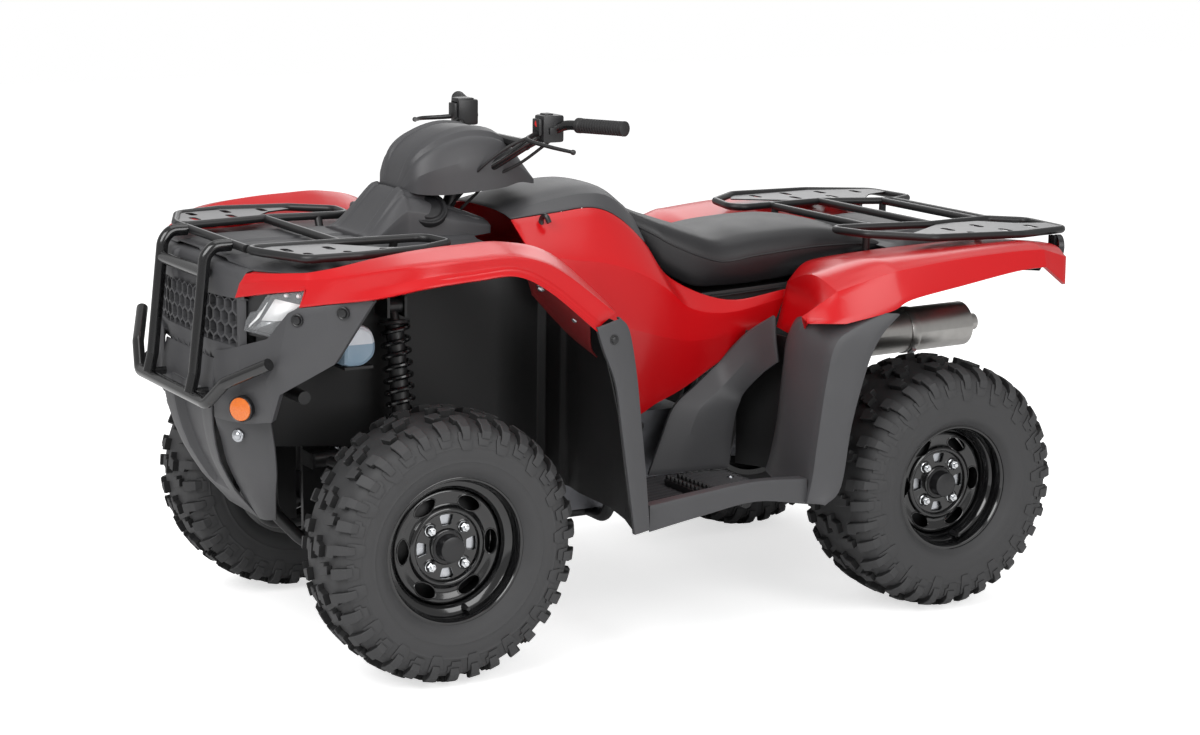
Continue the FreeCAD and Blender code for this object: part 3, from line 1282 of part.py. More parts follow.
def guard_stay(side):
    """Stay from the brush guard back to the frame's shield bar."""
    x, y, z = STAY_SHARES
    bar = grid(0, CROSS_SHARES[0][1], 0).y - size("frame_tube_radius") - size("bearing_gap")
    front = grid(side * x, y, z)
    return front, Vector(front.x, bar, front.z)


def brush_guard():
    parts = []
    rack_front = grid(0, -0.966, 0.906) - Y_AXIS * (size("rack_tube_radius") + size("bearing_gap"))
    for side in (LEFT, RIGHT):
        top = Vector(side * 0.128 * side_unit, rack_front.y, rack_front.z)
        bend = grid(side * 0.128, -1.012, 0.906)
        parts.append(tube(points(GUARD_POST_SHARES[:3], side) + [bend, top], "guard_tube_radius", "rack_bend"))
        parts.append(rod("rack_tube_radius", *guard_stay(side)))
    bar = points(GUARD_BAR_SHARES[1:])
    bar = bar[::-1] + points(GUARD_BAR_SHARES[1:], RIGHT)
    parts.append(tube(bar, "guard_tube_radius", "rack_bend"))
    parts.append(rod("guard_tube_radius", grid(-0.130, -1.033, 0.850), grid(0.130, -1.033, 0.850)))
    node("brush_guard", fuse(parts, "brush_guard"))


GRILLE_SHARES = (0.118, -1.0197, -1.002, 0.6715, 0.858)
GRILLE_CELLS = (5, 7)


def grille():
    """Honeycomb grille behind the guard's posts: hexagonal cells cut through a plate."""
    x, front, back, low, high = GRILLE_SHARES
    plate = block(grid(-x, front, low), grid(x, back, high), "grille_plate")
    pitch = size("grille_pitch")
    start = low * height_unit + pitch * 0.75
    cells = []
    for row in range(GRILLE_CELLS[0]):
        count = GRILLE_CELLS[1] - row % 2
        for column in range(count):
            cell = doc.addObject("Part::Prism", "cell")
            bind(cell, Circumradius="Sizes.grille_pitch * 0.5", Height="Sizes.overrun * 2")
            cell.Polygon = 6
            across = (column - (count - 1) / 2) * pitch
            place = Vector(across, grid(0, front, 0).y - size("overrun"), start + row * pitch * 0.87)
            cell.Placement = Placement(place, Rotation(X_AXIS, -90).multiply(Rotation(Z_AXIS, 30)))
            cells.append(cell)
    node("grille", cut(plate, cells, "grille"))


LAMP_LENS_SHARES = (
    (0.235, -1.006, 0.790), (0.262, -0.996, 0.822), (0.395, -0.942, 0.826), (0.412, -0.930, 0.812), (0.395, -0.946, 0.792),
    (0.300, -1.000, 0.752))
LAMP_SEAT_SHARES = (
    (0.235, 0.790), (0.262, 0.822), (0.340, 0.826), (0.352, 0.812), (0.340, 0.792), (0.290, 0.760))


def headlamps():
    """Lens and housing of each lamp in one; their flat backs stand against the frame's lamp bar."""
    bar = grid(0, LAMP_BAR_SHARES[1], 0).y - size("rack_tube_radius") - size("bearing_gap")
    pair = []
    for side in (LEFT, RIGHT):
        front = points(LAMP_LENS_SHARES, side)
        back = [Vector(side * x * side_unit, bar, z * height_unit) for x, z in LAMP_SEAT_SHARES]
        pair.append(faceted([front, back], "headlamp"))
    compound = doc.addObject("Part::Compound", "headlamps")
    compound.Links = pair
    node("headlamps", compound)


TAIL_REFLECTOR_SHARES = (0.418, 0.990, 0.818)
TAIL_LAMP_SHARES = (0.055, 0.018, 0.752, 0.792)


def reflectors():
    """Amber side reflectors on the shields and red ones on brackets under the rear rack."""
    parts = []
    rack_tube = REAR_RACK_LOOP_SHARES[4][2] * height_unit - size("rack_tube_radius") - size("bearing_gap")
    for side in (LEFT, RIGHT):
        amber = grid(side * 0.262, -0.998, 0.588)
        facing = Vector(side * 0.6, -0.8, 0)
        lens = disc("reflector_radius", "reflector_wall", amber + facing * size("reflector_wall"), facing, "amber")
        boss = rod("rack_tube_radius", amber - facing * size("reflector_boss"), amber + facing * size("reflector_wall") * 1.5)
        parts.append(fuse([lens, boss], "side_reflector"))
        place = grid(side * TAIL_REFLECTOR_SHARES[0], TAIL_REFLECTOR_SHARES[1], TAIL_REFLECTOR_SHARES[2])
        red = disc("reflector_radius", "reflector_wall", place, Vector(side * 0.35, 0.94, 0), "red")
        low = place - Vector(size("grip_radius"), size("bracket_wall") * 1.5, 0)
        high = Vector(place.x + size("grip_radius") * 0.4, place.y + size("bracket_wall") * 0.3, rack_tube)
        parts.append(fuse([red, block(low, high, "reflector_bracket")], "tail_reflector"))
    compound = doc.addObject("Part::Compound", "reflectors")
    compound.Links = parts
    node("reflectors", compound)


def tail_lamp():
    """Red lamp in the middle of the rear apron."""
    x, depth, low, high = TAIL_LAMP_SHARES
    apron = points(REAR_APRON_SHARES[0])[2].y + size("panel_wall") + size("bearing_gap")
    low_corner = Vector(-x * side_unit, apron, low * height_unit)
    lens = block(low_corner, Vector(x * side_unit, apron + depth * length_unit, high * height_unit), "lens")
    rounded = doc.addObject("Part::Fillet", "tail_lamp")
    rounded.Base = lens
    doc.recompute()
    edges = []
    for number, edge in enumerate(lens.Shape.Edges, 1):
        along = edge.tangentAt(edge.FirstParameter)
        if abs(along.y) > 0.9:
            edges.append((number, size("grip_radius") / 2, size("grip_radius") / 2))
    rounded.Edges = edges
    node("tail_lamp", rounded)


# Power train


ENGINE_CASE_SHARES = (0.150, -0.210, 0.135, 0.460)
ENGINE_BARREL_SHARES = (0.062, -0.175, -0.055, 0.630)
ENGINE_HEAD_SHARES = (0.085, -0.200, -0.030, 0.705)
ENGINE_FINS = 7


def engine():
    """Crankcase on the lower rails, finned barrel, head and the two side covers."""
    x, front, back, top = ENGINE_CASE_SHARES
    floor = RAIL_HEIGHT_SHARE * height_unit + size("frame_tube_radius") + size("bearing_gap")
    low = grid(-x, front, 0)
    low.z = floor
    case = block(low, grid(x, back, top), "crankcase")
    bx, bf, bb, barrel_top = ENGINE_BARREL_SHARES
    barrel = block(grid(-bx, bf, top), grid(bx, bb, barrel_top), "barrel")
    hx, hf, hb, head_top = ENGINE_HEAD_SHARES
    parts = [case, barrel, block(grid(-hx, hf, barrel_top), grid(hx, hb, head_top), "head")]
    pitch = (barrel_top - top) * height_unit / (ENGINE_FINS + 0.5)
    for i in range(ENGINE_FINS):
        level = top * height_unit + pitch * (i + 0.7)
        fin_low = grid(-hx, hf, 0) + Z_AXIS * level
        fin_high = grid(hx, hb, 0) + Z_AXIS * (level + size("brake_disc_wall"))
        parts.append(block(fin_low, fin_high, "fin"))
    for side in (LEFT, RIGHT):
        parts.append(disc("crank_cover_radius", "crank_cover_depth", grid(side * 0.149, -0.090, 0.360), X_AXIS * side, "cover"))
    node("engine", fuse(parts, "engine"))


RADIATOR_SHARES = (0.150, 0.036, 0.612, 0.775)
RADIATOR_FOOT_SHARES = (0.030, 0.055)


def radiator():
    """Radiator standing against the front rails."""
    x, depth, low, high = RADIATOR_SHARES
    back = grid(0, CROSS_SHARES[0][1], 0).y - size("frame_tube_radius") - size("bearing_gap")
    floor = low * height_unit + size("frame_tube_radius")
    parts = [block(Vector(-x * side_unit, back - depth * length_unit, floor), Vector(x * side_unit, back, high * height_unit), "core")]
    for side in (LEFT, RIGHT):
        inner, outer = RADIATOR_FOOT_SHARES
        low_corner = Vector(side * inner * side_unit, back - size("bracket_wall"), floor - size("overrun"))
        parts.append(block(low_corner, Vector(side * outer * side_unit, back, floor + size("bracket_wall")), "foot"))
    node("radiator", fuse(parts, "radiator"))


SILENCER_SHARES = ((0.225, 0.540, 0.605), (0.225, 0.865, 0.612))
EXHAUST_SHARES = (
    (0.225, 0.560, 0.605), (0.215, 0.400, 0.590), (0.172, 0.240, 0.560), (0.168, 0.050, 0.560), (0.165, -0.080, 0.600),
    (0.120, -0.115, 0.670))


def muffler():
    """Silencer on the left with its tail pipe, exhaust pipe to the head and hanger to the frame."""
    start, end = points(SILENCER_SHARES)
    route = points(EXHAUST_SHARES)
    route.append(Vector(ENGINE_HEAD_SHARES[0] * side_unit + size("bearing_gap"), route[-1].y, route[-1].z))
    rail = grid(*RACK_BAR_SHARES[0][1:])
    hanger_top = rail.z - size("frame_tube_radius") - size("bearing_gap")
    along = (end - start).normalize()
    parts = [
        rod("muffler_radius", start, end, "silencer"),
        rod("pipe_radius", end, end + along * size("overrun"), "tail_pipe"),
        tube(route, "pipe_radius", "frame_bend", name="exhaust"),
        block(Vector(rail.x - size("overrun") / 2, rail.y - size("bracket_wall") / 2, start.z),
              Vector(rail.x, rail.y + size("bracket_wall") / 2, hanger_top), "hanger"),
    ]
    node("muffler", fuse(parts, "muffler"))


DRIVE_CASE_SHARES = (0.045, 0.080)
AXLE_HOUSING_SHARE = 0.200
ARM_SHARE = 0.058


def swingarm():
    """Swingarm from the frame's pivot to the axle housing, with the final drive's case."""
    x, y, z = PIVOT_SHARES
    pivot = grid(0, y, z)
    half = X_AXIS * (x * side_unit - size("bearing_gap"))
    hub = Vector(0, rear_axle, wheel_height)
    housing = X_AXIS * AXLE_HOUSING_SHARE * side_unit
    parts = [rod("arm_bush_radius", pivot - half, pivot + half, "pivot"),
             rod("axle_tube_radius", hub - housing, hub + housing, "axle_tube")]
    for side in (LEFT, RIGHT):
        reach = X_AXIS * side * ARM_SHARE * side_unit
        parts.append(rod("pipe_radius", pivot + reach, hub + reach, "arm"))
    parts += rear_shock_foot(pivot, hub)
    case = doc.addObject("Part::Cylinder", "final_drive")
    bind(case, Radius="Sizes.brake_disc_radius")
    case.Height = DRIVE_CASE_SHARES[1] * side_unit
    case.Placement = Placement(hub + X_AXIS * DRIVE_CASE_SHARES[0] * side_unit, turned(X_AXIS))
    parts.append(case)
    bore = doc.addObject("Part::Cylinder", "axle_bore")
    bind(bore, Radius="Sizes.axle_radius + Sizes.bearing_gap")
    bore.Height = size("track")
    bore.Placement = Placement(hub - X_AXIS * half_track, turned(X_AXIS))
    node("swingarm", cut(fuse(parts, "swingarm"), [bore], "swingarm"))


def rear_shock_foot(pivot, hub):
    """Cross bar between the arms with two plates for the rear damper's lower eye."""
    eye = grid(*REAR_SHOCK_FOOT)
    share = (eye.y - pivot.y) / (hub.y - pivot.y)
    level = pivot.z + (hub.z - pivot.z) * share
    reach = X_AXIS * ARM_SHARE * side_unit
    bar = Vector(0, eye.y, level)
    parts = [rod("arm_bush_radius", bar - reach, bar + reach, "foot_bar")]
    half = size("shock_eye_length") / 2 + size("bearing_gap")
    for way in (-1, 1):
        low = Vector(way * half, eye.y - size("shock_eye_radius"), level)
        high = Vector(way * (half + size("bracket_wall")), eye.y + size("shock_eye_radius"), eye.z + size("shock_eye_radius"))
        parts.append(block(low, high, "foot_plate"))
    return parts


def tow_hitch():
    """Drawbar plate behind the axle housing, with the hole for a tow ball's stem."""
    front = rear_axle + size("axle_tube_radius") + size("bearing_gap")
    middle = wheel_height - size("hitch_wall") / 2
    half = size("hitch_width") / 2
    plate = block(Vector(-half, front, middle), Vector(half, front + size("hitch_width"), middle + size("hitch_wall")), "hitch_plate")
    hole = disc("hitch_ball_bore", "overrun", Vector(0, front + size("hitch_width") / 2, middle - size("overrun") / 2), Z_AXIS, "ball_hole")
    node("tow_hitch", cut(plate, [hole], "tow_hitch"))


def coolant_bottle():
    """Coolant bottle on the frame's shelf behind the left headlamp."""
    rail, reach, front, rear, level = SHELF_SHARES
    neck = grid(0.250, -0.752, 0.740)
    body = block(grid(0.212, front, level), grid(reach + 0.008, rear, 0.742), "bottle")
    cap = disc("grip_radius", "grip_radius", neck, Z_AXIS, "cap")
    node("coolant_bottle", fuse([body, cap], "coolant_bottle"))


BRAKE_PEDAL_SHARES = ((0.225, -0.020, 0.442), (0.250, -0.130, 0.430), (0.330, -0.135, 0.405))
SHIFT_PEDAL_SHARES = ((0.225, -0.020, 0.442), (0.240, -0.120, 0.425), (0.300, -0.122, 0.395))


def foot_controls():
    """Brake pedal on the right and shift pedal on the left, from the engine's sides."""
    case = ENGINE_CASE_SHARES[0] * side_unit + size("bearing_gap")
    levers = []
    for side, shares in ((RIGHT, BRAKE_PEDAL_SHARES), (LEFT, SHIFT_PEDAL_SHARES)):
        route = points(shares, side)
        start = Vector(side * case, route[0].y, route[0].z)
        levers.append(tube([start] + route, "tie_rod_radius", "rack_bend", name="pedal"))
    pedal, shift = levers
    compound = doc.addObject("Part::Compound", "foot_controls")
    compound.Links = [pedal, shift]
    node("foot_controls", compound)


wheels()
rear_axle_shaft()
for side, name in ((LEFT, "left"), (RIGHT, "right")):
    frame_side(side, name)
frame_cross()
front_arms()
front_shocks()
for side, name in ((LEFT, "left"), (RIGHT, "right")):
    knuckle(side, name)
    tie_rod(side, name)
    front_fender(side, name)
    side_panel(side, name)
    footwell(side, name)
steering_column()
handlebar()
grips()
hand_controls()
handlebar_cover()
rear_fender()
side_shields()
rear_apron()
tail_lamp()
rear_shock()
front_cover()
front_bumper()
dash_cover()
tank_cover()
seat()
front_rack()
rear_rack()
brush_guard()
grille()
headlamps()
reflectors()
engine()
radiator()
muffler()
swingarm()
tow_hitch()
coolant_bottle()
foot_controls()

doc.recompute()
faults = []
for item in doc.Objects:
    if "Invalid" in item.State or "Error" in item.State:
        faults.append(item.Name + " " + item.Label + " " + " ".join(item.State))
for item in nodes:
    if item.Shape.isNull() or not item.Shape.isValid() or not item.Shape.Solids:
        faults.append(item.Label + " has no valid solid")
if faults:
    raise RuntimeError("; ".join(faults))
for item in nodes:
    box = item.Shape.BoundBox
    reach = [round(v) for v in (box.XMin, box.XMax, box.YMin, box.YMax, box.ZMin, box.ZMax)]
    print(item.Label, len(item.Shape.Solids), "solids", round(item.Shape.Volume / 1000), "cm3", reach)
    item.Shape.exportStep("parts/" + item.Label + ".step")
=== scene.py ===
import math

import bmesh
import bpy
from mathutils import Matrix, Vector


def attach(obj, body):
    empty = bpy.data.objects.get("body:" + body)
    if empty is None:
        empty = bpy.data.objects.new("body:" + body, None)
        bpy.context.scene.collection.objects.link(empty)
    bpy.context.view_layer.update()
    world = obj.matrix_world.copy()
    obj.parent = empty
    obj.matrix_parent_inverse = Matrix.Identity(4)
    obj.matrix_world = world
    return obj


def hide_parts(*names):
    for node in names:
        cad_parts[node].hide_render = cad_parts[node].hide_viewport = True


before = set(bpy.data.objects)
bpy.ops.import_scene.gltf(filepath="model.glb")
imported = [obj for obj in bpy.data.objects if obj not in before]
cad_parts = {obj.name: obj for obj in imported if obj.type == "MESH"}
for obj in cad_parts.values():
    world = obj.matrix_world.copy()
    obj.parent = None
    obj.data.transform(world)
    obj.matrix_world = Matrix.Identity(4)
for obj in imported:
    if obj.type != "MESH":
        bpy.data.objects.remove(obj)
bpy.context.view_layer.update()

# Camera and studio

PHOTO_WIDTH = 1200
# How far the middle between the axles of the fitted grid lies behind the frame's
CENTRE_SHIFT = 0.013
# Camera fitted to the picture: direction and roll, distance and offsets in metres, focal length in its pixels
VIEW_AZIMUTH, VIEW_ELEVATION, VIEW_ROLL = math.radians(60.186), math.radians(11.133), math.radians(0.663)
VIEW_DISTANCE, VIEW_ACROSS, VIEW_UP = 6.10757, -0.008797, 0.527185
FOCAL_PIXELS = 2564.5
SENSOR = 36.0
X, Y, Z = Vector((1, 0, 0)), Vector((0, 1, 0)), Vector((0, 0, 1))
LEFT, RIGHT = 1, -1
SIDES = ((LEFT, "left"), (RIGHT, "right"))


def photo_camera():
    """Camera at the photograph's place; its figures come from the wheels' places in the picture."""
    sa, ca = math.sin(VIEW_AZIMUTH), math.cos(VIEW_AZIMUTH)
    se, ce = math.sin(VIEW_ELEVATION), math.cos(VIEW_ELEVATION)
    back = Vector((sa * ce, -ca * ce, se))
    right = Z.cross(back).normalized()
    up = back.cross(right)
    roll_right = right * math.cos(VIEW_ROLL) + up * math.sin(VIEW_ROLL)
    roll_up = up * math.cos(VIEW_ROLL) - right * math.sin(VIEW_ROLL)
    place = back * VIEW_DISTANCE + right * VIEW_ACROSS + up * VIEW_UP + Y * CENTRE_SHIFT
    data = bpy.data.cameras.new("photo_camera")
    data.sensor_width = SENSOR
    data.lens = FOCAL_PIXELS / PHOTO_WIDTH * SENSOR
    data.clip_end = 100
    camera = bpy.data.objects.new("photo_camera", data)
    turned = Matrix((roll_right, roll_up, back)).transposed().to_4x4()
    camera.matrix_world = Matrix.Translation(place) @ turned
    bpy.context.scene.collection.objects.link(camera)
    bpy.context.scene.camera = camera


def linear(code):
    """Linear colour of an sRGB hex value."""
    channels = [int(code[i:i + 2], 16) / 255 for i in (1, 3, 5)]
    return tuple(c / 12.92 if c <= 0.04045 else ((c + 0.055) / 1.055) ** 2.4 for c in channels) + (1.0,)


def add(tree, kind, inputs=(), **settings):
    """Add one node with its settings; an input takes a value or another node's socket."""
    node = tree.nodes.new(kind)
    for name, value in settings.items():
        setattr(node, name, value)
    for name, value in dict(inputs).items():
        if isinstance(value, bpy.types.NodeSocket):
            tree.links.new(value, node.inputs[name])
        else:
            node.inputs[name].default_value = value
    return node


def blank(name):
    """Empty material and its node tree."""
    material = bpy.data.materials.new(name)
    material.use_nodes = True
    material.node_tree.nodes.clear()
    return material, material.node_tree


def grain_bump(tree, place, size_mm, depth_mm, texture="ShaderNodeTexNoise"):
    """Bump of grains of a real size; the texture's scale is repeats per metre."""
    settings = {"Vector": place, "Scale": 1000 / size_mm}
    if texture == "ShaderNodeTexNoise":
        settings["Detail"] = 3.0
    height = add(tree, texture, settings).outputs[0]
    return add(tree, "ShaderNodeBump", {"Height": height, "Strength": 1.0, "Distance": depth_mm / 1000})


def finish(name, colour, other, patch_mm, roughness, rough_spread, grain=None, **sockets):
    """A surface of two close shades in soft patches, uneven gloss, and a grain of a real size.

    Numbers that are the same all over go straight to the shader's own sockets.
    """
    material, tree = blank(name)
    place = add(tree, "ShaderNodeTexCoord").outputs["Object"]
    patches = add(tree, "ShaderNodeTexNoise", {"Vector": place, "Scale": 1000 / patch_mm, "Detail": 4.0})
    factor = patches.outputs[0]
    shades = add(tree, "ShaderNodeMix", {"Factor": factor, "A": linear(colour), "B": linear(other)},
                 data_type="RGBA")
    gloss = add(tree, "ShaderNodeMapRange", {"Value": factor, "To Min": roughness - rough_spread,
                                             "To Max": roughness + rough_spread})
    inputs = {"Base Color": shades.outputs["Result"], "Roughness": gloss.outputs["Result"], **sockets}
    if grain:
        inputs["Normal"] = grain_bump(tree, place, *grain).outputs["Normal"]
    shader = add(tree, "ShaderNodeBsdfPrincipled", inputs)
    add(tree, "ShaderNodeOutputMaterial", {"Surface": shader.outputs["BSDF"]})
    return material


# Polypropylene dyed red through and moulded in a polished tool: deep even gloss with a faint flow ripple
red_panel = finish("moulded_red_polypropylene", "#C4060F", "#BA040C", 160, 0.3, 0.03, (14, 0.02),
                   **{"IOR": 1.45, "Coat Weight": 0.12, "Coat Roughness": 0.12})
# The unpolished back of the red mouldings: dull, and darkened as painted shade under the wings
red_back_shade = finish("red_polypropylene_painted_shade", "#6E0508", "#5C0406", 60, 0.6, 0.05, (3, 0.05),
                  **{"IOR": 1.49})
# The same plastic with a leather-like tool grain: dull grey sheen that breaks up every reflection
grey_panel = finish("grained_grey_polypropylene", "#454547", "#3E3E40", 90, 0.46, 0.05, (1.6, 0.12),
                    **{"IOR": 1.49})
# The same grain in black
black_panel = finish("grained_black_polypropylene", "#1D1D1F", "#18181A", 70, 0.5, 0.05, (1.6, 0.12),
                     **{"IOR": 1.49})
# Blow-moulded black polyethylene of the wheel wells and linings, darker than the grained black as painted
# shade of the recesses
recess_shade_plastic = finish("black_polyethylene_painted_recess_shade", "#0E0E0F", "#131314", 120, 0.55, 0.05, (2.4, 0.06),
                        **{"IOR": 1.5})
# Smooth moulded ABS of the switch housings: darker and slightly shinier than the grained covers
black_abs = finish("moulded_black_abs", "#151516", "#1B1B1D", 40, 0.36, 0.06, (2.2, 0.03), **{"IOR": 1.53})
# Steel tube under thick powder coat: black gloss with the coat's orange-peel waviness
gloss_tube = finish("powder_coated_black_tube", "#0C0C0D", "#101011", 60, 0.2, 0.04, (5, 0.02),
                    **{"IOR": 1.5, "Coat Weight": 0.5, "Coat Roughness": 0.1})
# Chassis paint, sprayed and satin: softer reflections, dusty in patches
satin_paint = finish("satin_black_chassis_paint", "#161617", "#222223", 50, 0.42, 0.1, (3, 0.04),
                     **{"IOR": 1.5})
# Wheel enamel, baked: wet black gloss
wheel_enamel = finish("baked_black_wheel_enamel", "#0A0A0B", "#0E0E0F", 80, 0.16, 0.03, (8, 0.015),
                      **{"IOR": 1.5, "Coat Weight": 0.6, "Coat Roughness": 0.05})
# Carbon-black tyre rubber, vulcanised in a mould: matt grey-black bloom, with painted shade on the lugs'
# sides in the copy below
tyre_rubber = finish("vulcanised_tyre_rubber", "#303031", "#3A3A3B", 45, 0.66, 0.08, (1.2, 0.08),
                     **{"IOR": 1.52})
# The same rubber on the sides of the lugs, in a darker copy as painted shade between the lugs
lug_side_shade_rubber = finish("tyre_rubber_painted_shade", "#101011", "#161617", 30, 0.7, 0.06, (1.2, 0.08),
                         **{"IOR": 1.52})
# Grip rubber: softer, darker and more even
grip_rubber = finish("moulded_grip_rubber", "#171718", "#1E1E1F", 30, 0.6, 0.06, (0.9, 0.06), **{"IOR": 1.52})
# Vinyl seat cover embossed with a leather grain of about 2 mm cells
seat_vinyl = finish("embossed_seat_vinyl", "#19191B", "#212123", 70, 0.44, 0.06,
                    (2.2, 0.16, "ShaderNodeTexVoronoi"), **{"IOR": 1.5})
# Sand-cast aluminium of the engine: grey metal with a coarse cast skin
cast_aluminium = finish("sand_cast_aluminium", "#5E5F61", "#74757A", 25, 0.5, 0.1, (1.8, 0.15),
                        **{"Metallic": 1.0})
# The knuckles' castings, painted: dark satin with the cast skin under it
satin_grey_cast = finish("painted_iron_casting", "#242425", "#2E2E30", 25, 0.5, 0.08, (2.2, 0.15),
                         **{"IOR": 1.5})
# Bright zinc on bolts and hubs
bright_zinc = finish("bright_zinc_plate", "#C9CBCE", "#AEB1B6", 12, 0.3, 0.1, (0.8, 0.03),
                     **{"Metallic": 1.0})
# Chrome on the wheel nuts
nut_chrome = finish("nut_chrome_plate", "#E4E6E8", "#D0D2D5", 10, 0.12, 0.04, **{"Metallic": 1.0})
# Aluminised steel of the silencer, rolled: pale metal, slightly streaked
silencer_steel = finish("rolled_aluminised_steel", "#B9B7B4", "#A09E9B", 35, 0.34, 0.08, (4, 0.04),
                        **{"Metallic": 1.0})
# Lamp reflector facets, metallised and lacquered, in three copies of one finish as painted reflection. Those
# that face the light are painted plain white
reflector_painted_white = finish("reflector_painted_reflection_white", "#FFFFFF", "#FAFAFA", 14, 0.30, 0.05)
# The facets between them: painted reflection in a middle grey
reflector_painted_grey = finish("reflector_painted_reflection_grey", "#A7A9AB", "#96989A", 9, 0.28, 0.08,
                   **{"Metallic": 0.5})
# The facets that turn away: painted reflection of the dark bowl in deep grey
reflector_painted_dark = finish("reflector_painted_reflection_dark", "#6C6E70", "#808284", 11, 0.26, 0.08,
                    **{"Metallic": 0.6})
# Blow-moulded polyethylene bottle: milky, a little see-through
bottle_polyethylene = finish("blow_moulded_polyethylene", "#D9DEE2", "#C6CED6", 30, 0.38, 0.05, (3, 0.05),
                             **{"IOR": 1.51, "Subsurface Weight": 0.3,
                                "Subsurface Radius": (0.01, 0.01, 0.01)})
# The same bottle below its fill line: the coolant shows through as a soft blue-grey
bottle_coolant = finish("coolant_seen_through_polyethylene", "#7D95A8", "#8BA2B3", 30, 0.36, 0.05, (3, 0.05),
                        **{"IOR": 1.51})
# Moulded acrylic reflectors with a prism pattern of about 3 mm
amber_acrylic = finish("prismatic_amber_acrylic", "#CF5E12", "#DE7722", 6, 0.16, 0.05,
                       (3.2, 0.5, "ShaderNodeTexVoronoi"), **{"IOR": 1.49, "Coat Weight": 0.8})
# The same in red, for the rear reflectors and the tail lamp
red_acrylic = finish("prismatic_red_acrylic", "#B3100F", "#D42A22", 6, 0.16, 0.05,
                     (3.2, 0.5, "ShaderNodeTexVoronoi"), **{"IOR": 1.49, "Coat Weight": 0.8})
# Plain moulded button: clean red with a small highlight
stop_red = finish("moulded_red_button", "#D2201C", "#C41814", 10, 0.3, 0.04, **{"IOR": 1.49})
# Gloss paint baked on the spring wire: black with one thin highlight along each turn
spring_paint = finish("gloss_black_spring_paint", "#0B0B0C", "#131314", 20, 0.24, 0.05, (3, 0.03),
                      **{"IOR": 1.5, "Coat Weight": 0.3})


def clear_lens_material():
    """Hard-coated polycarbonate of the headlamps: clear, with the sharp reflections of its coating."""
    material, tree = blank("clear_polycarbonate_lens")
    shader = add(tree, "ShaderNodeBsdfPrincipled", {
        "Base Color": linear("#F4F7FA"), "Roughness": 0.03, "IOR": 1.58, "Alpha": 0.08})
    add(tree, "ShaderNodeOutputMaterial", {"Surface": shader.outputs["BSDF"]})
    return material


clear_lens = clear_lens_material()


def rack_paint_material():
    """Textured black rack paint: near black on tubes and edges, a painted light grey sheen on what faces up.
    """
    material, tree = blank("textured_black_rack_paint")
    place = add(tree, "ShaderNodeTexCoord")
    patches = add(tree, "ShaderNodeTexNoise",
                  {"Vector": place.outputs["Object"], "Scale": 1000 / 30, "Detail": 4.0}).outputs[0]
    dark = add(tree, "ShaderNodeMix", {"Factor": patches, "A": linear("#131314"), "B": linear("#1D1D1E")},
               data_type="RGBA")
    # Painted sheen: light grey for what faces up
    painted_sheen = add(tree, "ShaderNodeMix", {"Factor": patches, "A": linear("#838384"), "B": linear("#949495")},
                data_type="RGBA")
    facing_up = add(tree, "ShaderNodeSeparateXYZ", {"Vector": place.outputs["Normal"]})
    # Mask of the up-facing faces that get the painted sheen
    sheen_on_top = add(tree, "ShaderNodeMapRange", {"Value": facing_up.outputs["Z"], "From Min": 0.955,
                                            "From Max": 0.995})
    colour = add(tree, "ShaderNodeMix", {"Factor": sheen_on_top.outputs["Result"], "A": dark.outputs["Result"],
                                         "B": painted_sheen.outputs["Result"]}, data_type="RGBA")
    bump = grain_bump(tree, place.outputs["Object"], 1.6, 0.06)
    shader = add(tree, "ShaderNodeBsdfPrincipled", {"Base Color": colour.outputs["Result"], "Roughness": 0.4,
                                                    "IOR": 1.5, "Normal": bump.outputs["Normal"]})
    add(tree, "ShaderNodeOutputMaterial", {"Surface": shader.outputs["BSDF"]})
    return material


rack_paint = rack_paint_material()


# Making pieces

# Vertices closer than this, in metres, are one
WELD = 1e-6


def at(x, y, z):
    """A point of the fitted grid in the model's frame, in metres."""
    return Vector((x, y + CENTRE_SHIFT, z))


def through(points, steps):
    """Points of a smooth line through the given ones, with steps to each span."""
    line = []
    last = len(points) - 1
    for i in range(last):
        a, b = points[i], points[i + 1]
        before = points[i - 1] if i else a * 2 - b
        after = points[i + 2] if i + 2 <= last else b * 2 - a
        for k in range(steps):
            t = k / steps
            line.append((a * 2 + (b - before) * t + (before * 2 - a * 5 + b * 4 - after) * t ** 2
                         + (a * 3 - before - b * 3 + after) * t ** 3) / 2)
    return line + [points[last].copy()]


def surface(rows, along=6, across=5, breaks=(), corners=()):
    """Smooth grid through rows of points; it may crease at the named rows and at the named stations."""
    def line(points, steps, stops):
        ends = [0] + [i for i in sorted(stops) if 0 < i < len(points) - 1] + [len(points) - 1]
        whole = []
        for low, high in zip(ends, ends[1:]):
            whole += through(points[low:high + 1], steps)[:-1]
        return whole + [points[-1].copy()]
    fine = [line(row, along, corners) for row in rows]
    columns = [line([row[j] for row in fine], across, breaks) for j in range(len(fine[0]))]
    return [[column[i] for column in columns] for i in range(len(columns[0]))]


def side_points(table, side=LEFT):
    """Rows of a table in the model's frame, on one side of the machine."""
    return [[at(side * x, y, z) for x, y, z in row] for row in table]


def ring(bm, points):
    """New vertices of a mesh at the given points."""
    return [bm.verts.new(p) for p in points]


def bridge(bm, a, b, material=0):
    """Band of quads between two closed rings of vertices."""
    faces = []
    for i in range(len(a)):
        j = (i + 1) % len(a)
        faces.append(bm.faces.new((a[i], a[j], b[j], b[i])))
        faces[-1].material_index = material
    return faces


def sheet_faces(bm, grid, material=0, flip=False):
    """Quads of a grid, added to a mesh."""
    verts = [[bm.verts.new(p) for p in row] for row in grid]
    for a, b in zip(verts, verts[1:]):
        for i in range(len(a) - 1):
            loop = (a[i], a[i + 1], b[i + 1], b[i])
            face = bm.faces.new(loop[::-1] if flip else loop)
            face.material_index = material


def closed_ends(bm, grid):
    """Caps on the first and the last row of a grid."""
    for row in (grid[0], grid[-1]):
        bm.faces.new(ring(bm, row))


